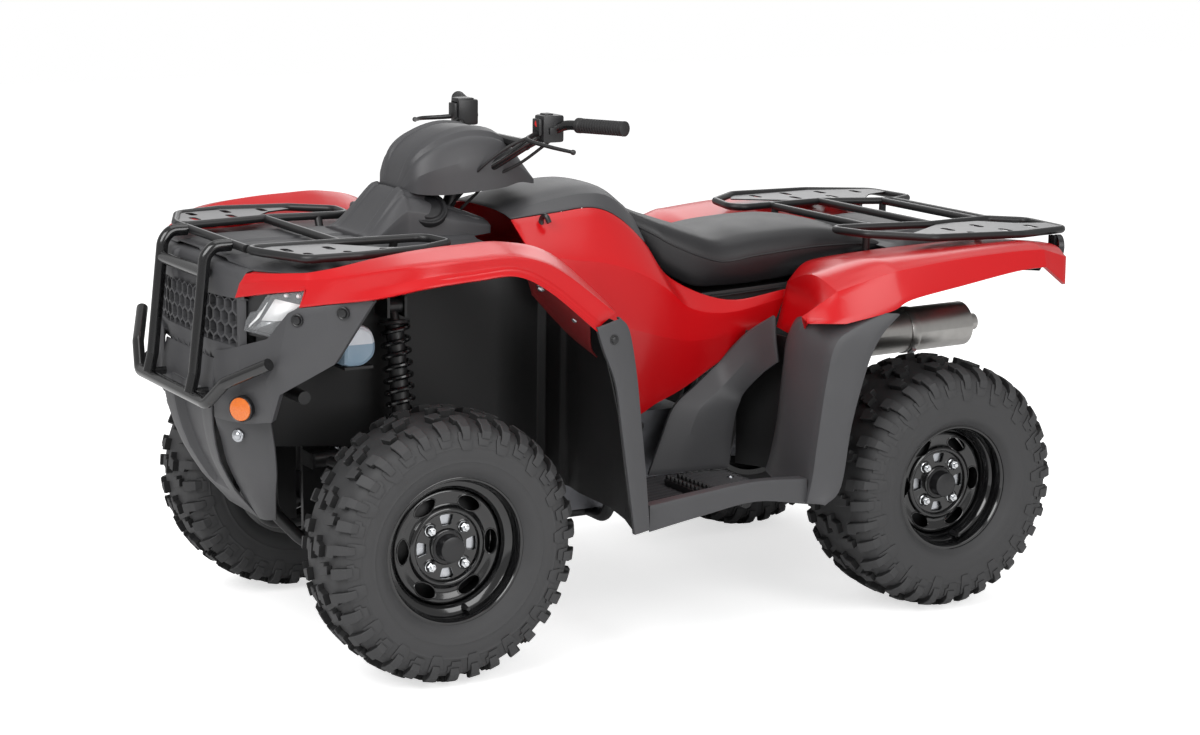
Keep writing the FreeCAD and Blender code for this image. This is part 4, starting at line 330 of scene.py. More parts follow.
def revolved(bm, profile, axis, segments=96, material=0):
    """Profile of (along, radius) turned about the X axis of a matrix."""
    rings = []
    for k in range(segments):
        c, s = math.cos(math.tau * k / segments), math.sin(math.tau * k / segments)
        rings.append(ring(bm, [axis @ Vector((u, r * c, r * s)) for u, r in profile]))
    for a, b in zip(rings, rings[1:] + rings[:1]):
        for i in range(len(profile) - 1):
            bm.faces.new((a[i], a[i + 1], b[i + 1], b[i])).material_index = material
    bmesh.ops.remove_doubles(bm, verts=[v for verts in rings for v in verts], dist=WELD)


def facing(origin, axis):
    """Matrix at a point whose X runs along an axis."""
    return Matrix.Translation(origin) @ axis.normalized().to_track_quat("X", "Z").to_matrix().to_4x4()


def round_bar(bm, points, radius, material=0, segments=12, caps=True):
    """Round bar along a line of points, with closed ends; the radius may change along it."""
    rings = []
    side = None
    last = len(points) - 1
    for i, p in enumerate(points):
        along = (points[min(i + 1, last)] - points[max(i - 1, 0)]).normalized()
        if side is None:
            side = along.orthogonal().normalized()
        side = (side - along * side.dot(along)).normalized()
        other = along.cross(side)
        r = radius(i / last) if callable(radius) else radius
        turns = [math.tau * k / segments for k in range(segments)]
        rings.append(ring(bm, [p + (side * math.cos(q) + other * math.sin(q)) * r for q in turns]))
    for a, b in zip(rings, rings[1:]):
        bridge(bm, a, b, material)
    if caps:
        bm.faces.new(rings[0][::-1]).material_index = material
        bm.faces.new(rings[-1]).material_index = material


def soft_block(bm, low, high, material=0, taper=0.0, edge=0.0025):
    """Block with bevelled edges between two corners; taper narrows its top."""
    part = bmesh.new()
    bmesh.ops.create_cube(part, size=1.0)
    centre, span = (low + high) / 2, high - low
    for v in part.verts:
        shrink = 1 - taper if v.co.z > 0 else 1
        v.co = Vector((v.co.x * abs(span.x) * shrink, v.co.y * abs(span.y) * shrink, v.co.z * abs(span.z)))
    bmesh.ops.bevel(part, geom=part.edges[:], offset=edge, segments=2, profile=0.6, affect="EDGES")
    part.transform(Matrix.Translation(centre))
    for face in part.faces:
        face.material_index = material
    mesh = bpy.data.meshes.new("block")
    part.to_mesh(mesh)
    part.free()
    bm.from_mesh(mesh)
    bpy.data.meshes.remove(mesh)


def drawn_object(name, bm):
    """Object in the scene with a finished mesh."""
    mesh = bpy.data.meshes.new(name)
    bm.to_mesh(mesh)
    bm.free()
    obj = bpy.data.objects.new(name, mesh)
    bpy.context.scene.collection.objects.link(obj)
    return obj


def piece(name, bm, finishes, body, replaced, slot, wall=0.0, edge=0.0, angle=30):
    """Object of a mesh, with wall thickness and softened edges, riding on its body."""
    if not wall:
        bmesh.ops.recalc_face_normals(bm, faces=bm.faces)
    obj = drawn_object(name, bm)
    mesh = obj.data
    for material in finishes:
        mesh.materials.append(material)
    if wall:
        solid = obj.modifiers.new("wall", "SOLIDIFY")
        solid.thickness = wall
        solid.offset = -1.0
        solid.use_even_offset = False
    if edge:
        soft = obj.modifiers.new("edges", "BEVEL")
        soft.width = edge
        soft.segments = 2
        soft.limit_method = "ANGLE"
        soft.angle_limit = math.radians(angle)
    mesh.shade_smooth()
    if not edge:
        mesh.set_sharp_from_angle(angle=math.radians(angle))
    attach(obj, body)
    if replaced:
        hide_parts(*replaced)
    return obj


def hem(rows, inward, drop, turn_up):
    """Rows with a return flange after the last one, as a moulded edge has."""
    edge = rows[-1]
    return rows + [[p + inward + Z * -drop for p in edge], [p + inward * 1.2 + Z * turn_up for p in edge]]


def bolt_head(bm, place, out, radius=0.006, material=0):
    """Flanged button head of a panel fastener."""
    revolved(bm, [(0, radius * 1.5), (0.0012, radius * 1.45), (0.0014, radius), (0.004, radius * 0.85),
                  (0.005, radius * 0.45), (0.005, 0)], facing(place, out), 20, material)


# Floor and light


def studio():
    """Pale floor, white world for camera and mirrors, broad soft lamps."""
    material, tree = blank("matt_white_studio_floor")
    path = add(tree, "ShaderNodeLightPath")
    matt = add(tree, "ShaderNodeBsdfDiffuse", {"Color": linear("#F2F2F2")})
    white = add(tree, "ShaderNodeEmission", {"Color": (1, 1, 1, 1), "Strength": 0.64})
    both = add(tree, "ShaderNodeAddShader")
    tree.links.new(matt.outputs[0], both.inputs[0])
    tree.links.new(white.outputs[0], both.inputs[1])
    mixed = add(tree, "ShaderNodeMixShader", {"Fac": path.outputs["Is Camera Ray"]})
    tree.links.new(matt.outputs[0], mixed.inputs[1])
    tree.links.new(both.outputs[0], mixed.inputs[2])
    add(tree, "ShaderNodeOutputMaterial", {"Surface": mixed.outputs[0]})
    mesh = bpy.data.meshes.new("studio_floor")
    reach = 14.0
    mesh.from_pydata([(-reach, -reach, 0), (reach, -reach, 0), (reach, reach, 0), (-reach, reach, 0)], [],
                     [(0, 1, 2, 3)])
    mesh.materials.append(material)
    floor = bpy.data.objects.new("studio_floor", mesh)
    bpy.context.scene.collection.objects.link(floor)

    world = bpy.data.worlds.new("studio")
    bpy.context.scene.world = world
    world.use_nodes = True
    tree = world.node_tree
    tree.nodes.clear()
    path = add(tree, "ShaderNodeLightPath")
    seen = add(tree, "ShaderNodeMath", {0: path.outputs["Is Camera Ray"],
                                        1: path.outputs["Is Transmission Ray"]},
               operation="MAXIMUM")
    strength = add(tree, "ShaderNodeMapRange", {"Value": seen.outputs[0], "To Min": 0.48, "To Max": 1.0})
    sky = add(tree, "ShaderNodeBackground", {"Color": (1, 1, 1, 1), "Strength": strength.outputs["Result"]})
    add(tree, "ShaderNodeOutputWorld", {"Surface": sky.outputs[0]})

    for name, place, size, watts in (
            ("key_softbox", (1.8, -3.8, 3.6), 3.0, 150), ("side_softbox", (5.0, 0.5, 2.6), 3.0, 105),
            ("top_softbox", (0.0, 0.5, 5.0), 4.0, 70), ("back_softbox", (-4.5, 3.0, 3.5), 3.0, 45)):
        lamp = bpy.data.lights.new(name, "AREA")
        lamp.size = size
        lamp.energy = watts
        obj = bpy.data.objects.new(name, lamp)
        obj.location = place
        obj.rotation_euler = (Vector(place) - Vector((0, 0, 0.5))).to_track_quat("Z", "Y").to_euler()
        bpy.context.scene.collection.objects.link(obj)


# Wheels

# Where the wheels stand, in metres
HALF_TRACK = 0.420
AXLE_HEIGHT = 0.292
AXLES = {"front": -0.621, "rear": 0.647}
# Half width, bead radius, ring radius and crown radius of each tyre in millimetres, and how far its lugs are
# spread across it
TYRES = {
    "front": dict(half=99.0, bead=155.0, ring=228.0, crown=276.0, spread=1.0),
    "rear": dict(half=124.0, bead=143.0, ring=226.0, crown=276.0, spread=1.26),
}
LUG_COUNT = 17
# Radius at which the lugs' lengths are measured; depth of their roots in the carcass, height of the upright
# flank as a share of the lug's, and the chamfer at the top edge
LUG_ARC_RADIUS = 0.283
LUG_ROOT = -0.004
LUG_SHOULDER = 0.86
LUG_CHAMFER = 0.0016
# Height of the two fine rings moulded round the sidewall
RING_HEIGHT = 0.0012
# Stations of each lug: across the tread, start and end round the tyre, height; all in millimetres
HOOK_LUG = ((4, 2, 34, 15), (13, -2, 32, 15), (14, 10, 38, 15), (30, 16, 40, 14.5))
MIDDLE_LUG = ((34, 50, 78, 14.5), (48, 47, 74, 14), (49, 54, 74, 14), (60, 52, 70, 13.5))
SHOULDER_LUG = ((58, 8, 34, 14), (74, 4, 32, 13), (75, 4, 26, 13), (90, 2, 24, 12), (101, 2, 22, 9),
                (112, 2, 21, 5))
SHORT_LUG = ((70, 56, 80, 13), (84, 53, 78, 12), (97, 52, 76, 10), (108, 52, 74, 4.5))
STEP_PLATE = ((96, -4, 30, 3), (110, -6, 32, 3), (126, -6, 26, 2.6), (133, -3, 22, 2.2))
STEP_SHORT = ((98, 46, 84, 3), (112, 44, 82, 3), (113, 52, 82, 3), (122, 54, 80, 2.4))


def axle_end(kind, side):
    """Middle of a wheel on its axle."""
    return Vector((side * HALF_TRACK, AXLES[kind], AXLE_HEIGHT))


def tyre_profile(t):
    """Outline from the tread's middle over the shoulder to the bead, (across, radius) in metres."""
    h = t["half"]
    crown, ring_radius, bead = t["crown"], t["ring"], t["bead"]
    points = [(0, crown), (h * 0.45, crown - 2), (h * 0.74, crown - 8), (h * 0.91, crown - 20),
              (h * 0.975, crown - 36), (h * 1.0, ring_radius - 6), (h * 0.995, ring_radius - 26),
              (h * 0.95, bead + 24), (h * 0.86, bead + 9), (h * 0.77, bead)]
    return [Vector((a / 1000, r / 1000, 0)) for a, r in points]


def tyre(kind, side, name, body):
    """Carcass turned from its outline, with moulded rings by the bead and the lugs set on its skin."""
    t = TYRES[kind]
    line = through(tyre_profile(t), 6)
    lengths = [0.0]
    for a, b in zip(line, line[1:]):
        lengths.append(lengths[-1] + (b - a).length)

    def skin(across):
        """Point and outward direction of the carcass at a distance from the middle."""
        reach = across / 1000 * t["spread"]
        for i in range(1, len(line)):
            if lengths[i] >= reach or i == len(line) - 1:
                share = (reach - lengths[i - 1]) / max(lengths[i] - lengths[i - 1], 1e-9)
                tangent = (line[i] - line[i - 1]).normalized()
                return line[i - 1].lerp(line[i], share), Vector((-tangent.y, tangent.x, 0))

    centre = axle_end(kind, side)
    bm = bmesh.new()
    bead_ring = [i for i, p in enumerate(line) if p.y * 1000 <= t["ring"]][0]
    outline = [(p.x + RING_HEIGHT * (i in (bead_ring, bead_ring + 9)), p.y) for i, p in enumerate(line)]
    whole = [(-a, r) for a, r in reversed(outline[1:])] + outline
    revolved(bm, whole, Matrix.Translation(centre), 144)

    def lug(stations, way, turn):
        """One lug: six corners at each station, its top face in the plain rubber and its sides and ends in
        the darker copy as painted shade.
        """
        rings = []
        for across, start, end, height in stations:
            place, out = skin(across)
            verts = []
            for lift, trim in ((LUG_ROOT, 0.0), (height / 1000 * LUG_SHOULDER, 0.0),
                               (height / 1000, LUG_CHAMFER)):
                p = place + out * lift
                for s in (start / 1000 + trim, end / 1000 - trim):
                    angle = turn + way * s / LUG_ARC_RADIUS
                    verts.append(bm.verts.new(
                        centre + Vector((way * p.x, p.y * math.cos(angle), p.y * math.sin(angle)))))
            rings.append([verts[i] for i in (0, 2, 4, 5, 3, 1)])
        for a, b in zip(rings, rings[1:]):
            for i in range(5):
                # Sides and ends take the darker copy as painted shade
                bm.faces.new((a[i], a[i + 1], b[i + 1], b[i])).material_index = 0 if 0 < i < 4 else 1
        bm.faces.new(rings[0]).material_index = 1
        bm.faces.new(rings[-1][::-1]).material_index = 1

    for k in range(LUG_COUNT):
        for way, shift in ((1, 0.0), (-1, 0.5)):
            for stations in (HOOK_LUG, MIDDLE_LUG, SHOULDER_LUG, SHORT_LUG, STEP_PLATE, STEP_SHORT):
                lug(stations, way, (k + shift) * math.tau / LUG_COUNT)
    bmesh.ops.recalc_face_normals(bm, faces=bm.faces)
    piece(name, bm, [tyre_rubber, lug_side_shade_rubber], body, [name], "tyre_rubber", angle=28)


# Half width, flange, bead, disc offset and well of each wheel, in millimetres
RIMS = {
    "front": dict(half=80.0, flange=168.0, bead=152.0, offset=48.0, well=126.0),
    "rear": dict(half=103.0, flange=156.0, bead=140.0, offset=62.0, well=122.0),
}
WINDOWS = 6
NUTS = 4
# Radius of the nuts' circle, thickness of the disc and radius of its windows' rolled lips, in metres
NUT_CIRCLE = 0.055
DISC_WALL = 0.0035
WINDOW_LIP = 0.0018


def rim(kind, side, name, body):
    """Pressed wheel: double rolled flange, dropped barrel, dished disc with lipped windows, nuts and cap."""
    m = RIMS[kind]
    w, f, b, well = m["half"], m["flange"], m["bead"], m["well"]
    dish = w - m["offset"]
    outward = Matrix.Rotation(0 if side == LEFT else math.pi, 4, "Z")
    centre = Matrix.Translation(axle_end(kind, side)) @ outward
    bm = bmesh.new()

    def turned(profile, axis, segments, material=0, target=bm):
        """Profile in millimetres turned about an axis."""
        revolved(target, [(a / 1000, r / 1000) for a, r in profile], axis, segments, material)

    def rolled(degrees):
        """The wheel's axis turned about itself."""
        return centre @ Matrix.Rotation(math.radians(degrees), 4, "X")

    turned([(w - 26, b - 1), (w - 8, b), (w - 4, b + 6), (w - 1.5, f - 2.5), (w + 0.0, f - 0.4),
            (w + 1.6, f - 0.8), (w + 2.2, f - 3), (w + 0.6, f - 6), (w - 1.8, f - 8), (w - 1.2, f - 11),
            (w - 0.4, f - 13),
            (w - 1.0, f - 16), (w - 5, f - 19), (w - 14, f - 21), (w - 30, f - 22), (w - 35, f - 27),
            (w - 38, well + 6), (w - 44, well + 2), (dish + 6, well), (-w * 0.35, well), (-w * 0.62, b - 8),
            (-w + 10, b - 6), (-w + 3, f - 4), (-w, f), (-w - 1, f - 2), (-w + 2, b - 4), (-w + 12, b - 10),
            (-w * 0.62, b - 13), (-w * 0.36, well - 4), (dish - 6, well - 4)], centre, 120)
    dish_line = through([Vector((dish + a, r, 0)) for a, r in (
        (-6, well - 2), (1, well - 4), (3.5, well - 9), (2, well - 16), (-1.5, well - 27), (-1, well - 36),
        (4, 84), (6.5, 80), (5.5, 76.5), (1, 74), (-0.5, 71), (-0.5, 42), (0.5, 38), (4, 35), (5, 26))], 3)
    disc = bmesh.new()
    turned([(p.x, p.y) for p in dish_line], centre, 144, target=disc)
    disc = drawn_object(name + "_disc", disc)
    wall = disc.modifiers.new("wall", "SOLIDIFY")
    wall.thickness = DISC_WALL
    wall.offset = 0

    cutters = bmesh.new()
    window_mid = well - 24
    turns = [math.tau * i / 28 for i in range(28)]
    oval = [(window_mid + 14.0 * math.cos(q), 26.5 * math.sin(q)) for q in turns]
    trapezoid = [(46, -9.5), (49, -11.5), (65, -16), (68.5, -13), (69.5, 0), (68.5, 13), (65, 16), (49, 11.5),
                 (46, 9.5)]
    for outline, count in ((oval, WINDOWS), (trapezoid, NUTS)):
        for i in range(count):
            turn = rolled(360 * i / count)
            near, far = [ring(cutters, [turn @ (Vector((dish + a, y, z)) / 1000) for y, z in outline])
                         for a in (-30, 30)]
            bridge(cutters, near, far)
            cutters.faces.new(near[::-1])
            cutters.faces.new(far)
    bmesh.ops.recalc_face_normals(cutters, faces=cutters.faces)
    cutter = drawn_object(name + "_windows", cutters)
    carve = disc.modifiers.new("windows", "BOOLEAN")
    carve.object = cutter
    carve.solver = "EXACT"
    bpy.context.view_layer.update()
    bm.from_mesh(bpy.data.meshes.new_from_object(disc.evaluated_get(bpy.context.evaluated_depsgraph_get())))
    bpy.data.objects.remove(disc)
    bpy.data.objects.remove(cutter)

    def disc_height(r):
        """How far out the disc stands at a radius."""
        for a, c in zip(dish_line, dish_line[1:]):
            if a.y >= r >= c.y:
                return a.x + (c.x - a.x) * (a.y - r) / max(a.y - c.y, 1e-9)
        return dish

    for i in range(WINDOWS):
        turn = rolled(360 * i / WINDOWS)
        lip = []
        for k in range(41):
            q = math.tau * k / 40
            y, z = window_mid + 15.2 * math.cos(q), 27.8 * math.sin(q)
            lip.append(turn @ (Vector((disc_height(math.hypot(y, z)) + 1.6, y, z)) / 1000))
        round_bar(bm, lip, WINDOW_LIP, segments=8, caps=False)
    # Drum behind the windows, in the darker recess black as painted shade, and the bright hub face behind the
    # small ones
    turned([(dish - 15, 20), (dish - 16, 70), (dish - 34, well - 8), (dish - 36, well - 5)], centre, 64, 4)
    turned([(dish - 14, 20), (dish - 12, 44), (dish - 8, 46), (dish - 8, 68), (dish - 12, 72),
            (dish - 24, 72)], centre, 64, 1)
    for i in range(NUTS):
        # Pressed seat, washer, hexagon and the stud's end
        seat_axis = rolled(45 + 90 * i) @ Matrix.Translation((0, NUT_CIRCLE, 0))
        turned([(dish - 1, 17), (dish + 1.5, 16.5), (dish + 2.2, 14), (dish + 1.4, 12.5)], seat_axis, 24)
        turned([(dish, 12.5), (dish + 3.5, 12.5), (dish + 4.5, 11)], seat_axis, 24, 2)
        turned([(dish + 4, 0), (dish + 4.4, 10.6), (dish + 12, 10.6), (dish + 13.5, 9), (dish + 13.5, 0)],
               seat_axis, 6, 2)
        turned([(dish + 13, 5.4), (dish + 19, 5.4), (dish + 20, 4.4), (dish + 20, 0)], seat_axis, 16, 2)
    # Black cap over the axle's end, and the valve
    turned([(dish - 2, 36), (dish + 8, 34.5), (dish + 9, 29.5), (dish + 30, 28.5), (dish + 33, 27),
            (dish + 34.5, 23), (dish + 35, 0)], centre, 48, 3)
    valve = rolled(-75) @ Matrix.Translation((0, (f - 31) / 1000, 0))
    turned([(w - 44, 7), (w - 36, 6.5), (w - 26, 4.5), (w - 14, 4), (w - 13, 0)], valve, 16, 3)
    piece(name, bm, [wheel_enamel, bright_zinc, nut_chrome, black_abs, recess_shade_plastic], body, [name],
          "black_metal", angle=34)


# Body panels

# The red mouldings' wall, the radius of their creases and edges, and the angle from which an edge gets it.
# The rows of the panels' tables run along the machine, each as (across, along, up) in metres, and follow the
# same measured lines as the moulded parts
RED_SKIN = dict(wall=0.0035, edge=0.0022, angle=14)
FENDER_ROWS = (
    ((0.256, -0.975, 0.868), (0.300, -0.940, 0.868), (0.335, -0.905, 0.870), (0.342, -0.895, 0.870),
     (0.345, -0.850, 0.868), (0.345, -0.790, 0.868), (0.345, -0.700, 0.874), (0.345, -0.610, 0.876),
     (0.345, -0.510, 0.878), (0.350, -0.410, 0.870), (0.400, -0.290, 0.780)),
    ((0.252, -0.992, 0.864), (0.320, -0.960, 0.872), (0.388, -0.918, 0.880), (0.396, -0.910, 0.882),
     (0.432, -0.870, 0.894), (0.452, -0.800, 0.910), (0.458, -0.710, 0.922), (0.458, -0.610, 0.928),
     (0.460, -0.510, 0.928), (0.472, -0.402, 0.898), (0.500, -0.278, 0.788)),
    ((0.241, -1.002, 0.842), (0.317, -0.973, 0.858), (0.399, -0.922, 0.868), (0.406, -0.917, 0.868),
     (0.458, -0.880, 0.878), (0.520, -0.808, 0.896), (0.548, -0.712, 0.906), (0.550, -0.610, 0.910),
     (0.550, -0.512, 0.908), (0.550, -0.418, 0.872), (0.552, -0.290, 0.776)),
    ((0.235, -1.004, 0.827), (0.314, -0.975, 0.844), (0.399, -0.923, 0.857), (0.398, -0.925, 0.842),
     (0.446, -0.890, 0.846), (0.510, -0.818, 0.860), (0.549, -0.724, 0.880), (0.551, -0.618, 0.887),
     (0.551, -0.526, 0.888), (0.552, -0.440, 0.850), (0.553, -0.322, 0.756)),
    ((0.229, -1.007, 0.812), (0.312, -0.976, 0.830), (0.398, -0.924, 0.846), (0.388, -0.933, 0.810),
     (0.436, -0.897, 0.821), (0.511, -0.821, 0.838), (0.560, -0.725, 0.861), (0.562, -0.620, 0.869),
     (0.562, -0.530, 0.871), (0.562, -0.450, 0.832), (0.562, -0.340, 0.742)),
)
# Stations between which the fender's band changes from the lamp's brow to the wing
FENDER_STOPS = (2, 3)
FENDER_LINING = (
    ((0.548, -0.500, 0.872), (0.546, -0.450, 0.842), (0.544, -0.395, 0.797), (0.542, -0.345, 0.756)),
    ((0.440, -0.440, 0.850), (0.445, -0.395, 0.800), (0.450, -0.345, 0.740), (0.470, -0.300, 0.690)),
    ((0.390, -0.400, 0.800), (0.395, -0.350, 0.745), (0.400, -0.305, 0.700), (0.440, -0.268, 0.662)))


def front_fender(side, label):
    """Wing over a front wheel, from a thin band at the headlamp to its point behind, and its lining."""
    rows = hem(side_points(FENDER_ROWS, side), Vector((-side * 0.008, 0.009, 0)), 0.003, 0.012)
    bm = bmesh.new()
    sheet_faces(bm, surface(rows, 6, 4, breaks=(1, 2, 3, 4, 5), corners=FENDER_STOPS), flip=side == LEFT)
    piece("front_fender_" + label, bm, [red_panel], "chassis", ["front_fender_" + label], "red_gloss",
          **RED_SKIN)
    lining = bmesh.new()
    sheet_faces(lining, surface(side_points(FENDER_LINING, side), 5, 4), flip=side == RIGHT)
    for x, y, z in ((0.500, -0.440, 0.833), (0.505, -0.360, 0.762)):
        bolt_head(lining, at(side * x, y, z), Vector((side * 0.35, -0.75, -0.55)), 0.005, material=1)
    # Lining in the dark red copy: painted shade under the wing
    piece("fender_lining_" + label, lining, [red_back_shade, bright_zinc], "chassis", (), "red_gloss",
          wall=0.003, edge=0.001)


SIDE_PANEL_ROWS = (
    ((0.158, -0.330, 0.925), (0.158, -0.221, 0.934), (0.158, -0.127, 0.940), (0.160, -0.060, 0.915),
     (0.172, 0.004, 0.855), (0.180, 0.070, 0.770), (0.192, 0.215, 0.712), (0.200, 0.374, 0.727)),
    ((0.235, -0.320, 0.860), (0.240, -0.221, 0.840), (0.240, -0.127, 0.825), (0.240, -0.040, 0.795),
     (0.236, 0.030, 0.755), (0.225, 0.100, 0.705), (0.213, 0.210, 0.686), (0.205, 0.364, 0.707)),
    ((0.250, -0.285, 0.770), (0.250, -0.200, 0.720), (0.250, -0.120, 0.690), (0.248, -0.040, 0.665),
     (0.240, 0.030, 0.645), (0.228, 0.110, 0.630), (0.214, 0.205, 0.636), (0.207, 0.345, 0.666)),
    ((0.228, -0.262, 0.735), (0.216, -0.190, 0.640), (0.210, -0.120, 0.540), (0.208, -0.050, 0.465),
     (0.206, 0.025, 0.490), (0.204, 0.100, 0.520), (0.203, 0.200, 0.575), (0.203, 0.327, 0.632)),
)


def side_panel(side, label):
    """Red flank between the tank cover and the footwell, creased along its length."""
    rows = hem(side_points(SIDE_PANEL_ROWS, side), X * -side * 0.010, 0.002, 0.010)
    bm = bmesh.new()
    sheet_faces(bm, surface(rows, 7, 6, breaks=(1, 2, 3, 4)), flip=side == LEFT)
    piece("side_panel_" + label, bm, [red_panel], "chassis", ["side_panel_" + label], "red_gloss", **RED_SKIN)


REAR_FENDER_ROWS = (
    ((0.2054, 0.345, 0.640), (0.2054, 0.372, 0.745), (0.2054, 0.410, 0.782), (0.2054, 0.460, 0.795),
     (0.2054, 0.612, 0.805), (0.2054, 0.763, 0.810), (0.2054, 0.850, 0.812), (0.2054, 0.955, 0.812)),
    ((0.400, 0.290, 0.646), (0.385, 0.316, 0.792), (0.440, 0.412, 0.826), (0.452, 0.470, 0.832),
     (0.465, 0.612, 0.840), (0.468, 0.763, 0.845), (0.462, 0.850, 0.846), (0.448, 0.945, 0.832)),
    ((0.478, 0.228, 0.716), (0.508, 0.302, 0.772), (0.536, 0.410, 0.806), (0.542, 0.470, 0.816),
     (0.548, 0.612, 0.830), (0.549, 0.763, 0.837), (0.546, 0.850, 0.836), (0.530, 0.930, 0.812)),
    ((0.520, 0.222, 0.708), (0.545, 0.303, 0.705), (0.558, 0.415, 0.726), (0.560, 0.470, 0.749),
     (0.560, 0.612, 0.771), (0.560, 0.763, 0.793), (0.557, 0.850, 0.797), (0.543, 0.920, 0.750)),
)
# Grey deck between the rear mudguards: its bends across, its crease along, and how low its gutters lie
DECK_WIDTHS = (-0.2054, -0.185, -0.150, -0.080, 0.0, 0.080, 0.150, 0.185, 0.2054)
DECK_CREASE = ((0.655, 0.808), (0.690, 0.812), (0.712, 0.834), (0.800, 0.839), (0.900, 0.836), (0.950, 0.824))
DECK_GUTTER = 0.806
DECK_BEND = 0.822


def rear_fender():
    """Rear mudguards with upright flanks and a crowned top, and the grey deck between them."""
    bm = bmesh.new()
    for side in (LEFT, RIGHT):
        rows = hem(side_points(REAR_FENDER_ROWS, side), X * -side * 0.012, 0.003, 0.010)
        sheet_faces(bm, surface(rows, 6, 5, breaks=(2, 3, 4), corners=(1, 6)), flip=side == LEFT)
    piece("rear_fender", bm, [red_panel], "chassis", ["rear_fender"], "red_gloss", **RED_SKIN)
    deck = bmesh.new()
    deck_rows = [[at(x, y, z) for x in DECK_WIDTHS] for y, z in DECK_CREASE]
    for row in deck_rows:
        row[0].z = row[-1].z = DECK_GUTTER
        row[1].z = row[-2].z = min(row[1].z, DECK_BEND)
    sheet_faces(deck, surface(deck_rows, 2, 4, breaks=(1, 2), corners=(1, 2, 6, 7)))
    piece("rear_deck", deck, [grey_panel], "chassis", (), "dark_plastic", wall=0.003, edge=0.002, angle=14)


# Ribs of the footboard: the field they fill (across from, to; along from, to), their pitch, slope, shortest
# length that is kept, foot's height, half width and rise
TREAD_FIELD = (0.215, 0.488, -0.178, 0.190)
RIB_PITCH = 0.0165
RIB_SLOPE = 0.75
RIB_SHORTEST = 0.012
RIB_FOOT = 0.3185
RIB_HALF_WIDTH = 0.0022
RIB_RISE = 0.0026


def board_ribs(bm, side):
    """Diagonal ribs of the footboard's tread, cut off at its edges."""
    x0, x1, y0, y1 = TREAD_FIELD
    for i in range(-22, 30):
        xa, ya = x0, i * RIB_PITCH
        xb, yb = x1, i * RIB_PITCH + (x1 - x0) * RIB_SLOPE
        if yb < y0 or ya > y1:
            continue
        if ya < y0:
            xa += (y0 - ya) / RIB_SLOPE
            ya = y0
        if yb > y1:
            xb -= (yb - y1) / RIB_SLOPE
            yb = y1
        if xb - xa < RIB_SHORTEST:
            continue
        a, b = at(side * xa, ya, RIB_FOOT), at(side * xb, yb, RIB_FOOT)
        across = (b - a).normalized().cross(Z) * RIB_HALF_WIDTH
        foot, top = across * 1.3, across * 0.8
        low = ring(bm, (a + foot, b + foot, b - foot, a - foot))
        high = ring(bm, [p + Z * RIB_RISE for p in (a + top, b + top, b - top, a - top)])
        bm.faces.new(high)
        bridge(bm, low, high)


PEG_TOOTH = ((-0.006, 0), (-0.003, 0.011), (0.003, 0.011), (0.006, 0))


def foot_peg(bm, side):
    """Serrated steel peg across the board: a bar with two rows of teeth."""
    low, high = at(side * 0.300, -0.012, 0.319), at(side * 0.470, 0.030, 0.336)
    low.x, high.x = min(low.x, high.x), max(low.x, high.x)
    soft_block(bm, low, high, 2)
    for row in (-0.006, 0.024):
        for i in range(10):
            foot = at(side * (0.306 + i * 0.0172), row, 0.334)
            near, far = [ring(bm, [foot + X * dx + Z * dz + Y * dy for dx, dz in PEG_TOOTH])
                         for dy in (-0.003, 0.003)]
            bm.faces.new(near).material_index = 2
            bm.faces.new(far[::-1]).material_index = 2
            bridge(bm, near, far, 2)


FRONT_GUARD_ROWS = (
    ((0.556, -0.284, 0.764), (0.556, -0.262, 0.735), (0.556, -0.243, 0.640), (0.556, -0.231, 0.540),
     (0.556, -0.218, 0.430), (0.556, -0.206, 0.300)),
    ((0.562, -0.338, 0.752), (0.562, -0.322, 0.705), (0.562, -0.292, 0.629), (0.562, -0.277, 0.540),
     (0.562, -0.261, 0.435), (0.562, -0.240, 0.296)),
)
REAR_GUARD_ROWS = (
    ((0.562, 0.432, 0.721), (0.562, 0.389, 0.683), (0.562, 0.360, 0.640), (0.562, 0.337, 0.579),
     (0.562, 0.308, 0.475), (0.562, 0.285, 0.343), (0.560, 0.246, 0.304)),
    ((0.555, 0.405, 0.722), (0.548, 0.318, 0.690), (0.546, 0.276, 0.660), (0.545, 0.256, 0.583),
     (0.545, 0.236, 0.447), (0.545, 0.225, 0.364), (0.545, 0.212, 0.308)),
    ((0.480, 0.300, 0.716), (0.440, 0.262, 0.690), (0.420, 0.250, 0.650), (0.410, 0.246, 0.583),
     (0.405, 0.240, 0.447), (0.405, 0.236, 0.364), (0.405, 0.230, 0.322)),
    ((0.330, 0.330, 0.690), (0.325, 0.315, 0.670), (0.320, 0.300, 0.630), (0.320, 0.292, 0.570),
     (0.320, 0.280, 0.447), (0.320, 0.262, 0.364), (0.320, 0.250, 0.330)),
)
BOARD_ROWS = (
    ((0.204, -0.190, 0.318), (0.204, -0.060, 0.318), (0.204, 0.080, 0.318), (0.204, 0.200, 0.318)),
    ((0.500, -0.190, 0.318), (0.500, -0.060, 0.318), (0.500, 0.080, 0.318), (0.500, 0.200, 0.318)),
    ((0.512, -0.190, 0.348), (0.512, -0.060, 0.360), (0.512, 0.080, 0.370), (0.512, 0.210, 0.364)),
    ((0.536, -0.190, 0.346), (0.536, -0.060, 0.359), (0.536, 0.080, 0.370), (0.536, 0.214, 0.362)),
    ((0.540, -0.192, 0.290), (0.540, -0.060, 0.310), (0.540, 0.080, 0.326), (0.540, 0.218, 0.304)),
)
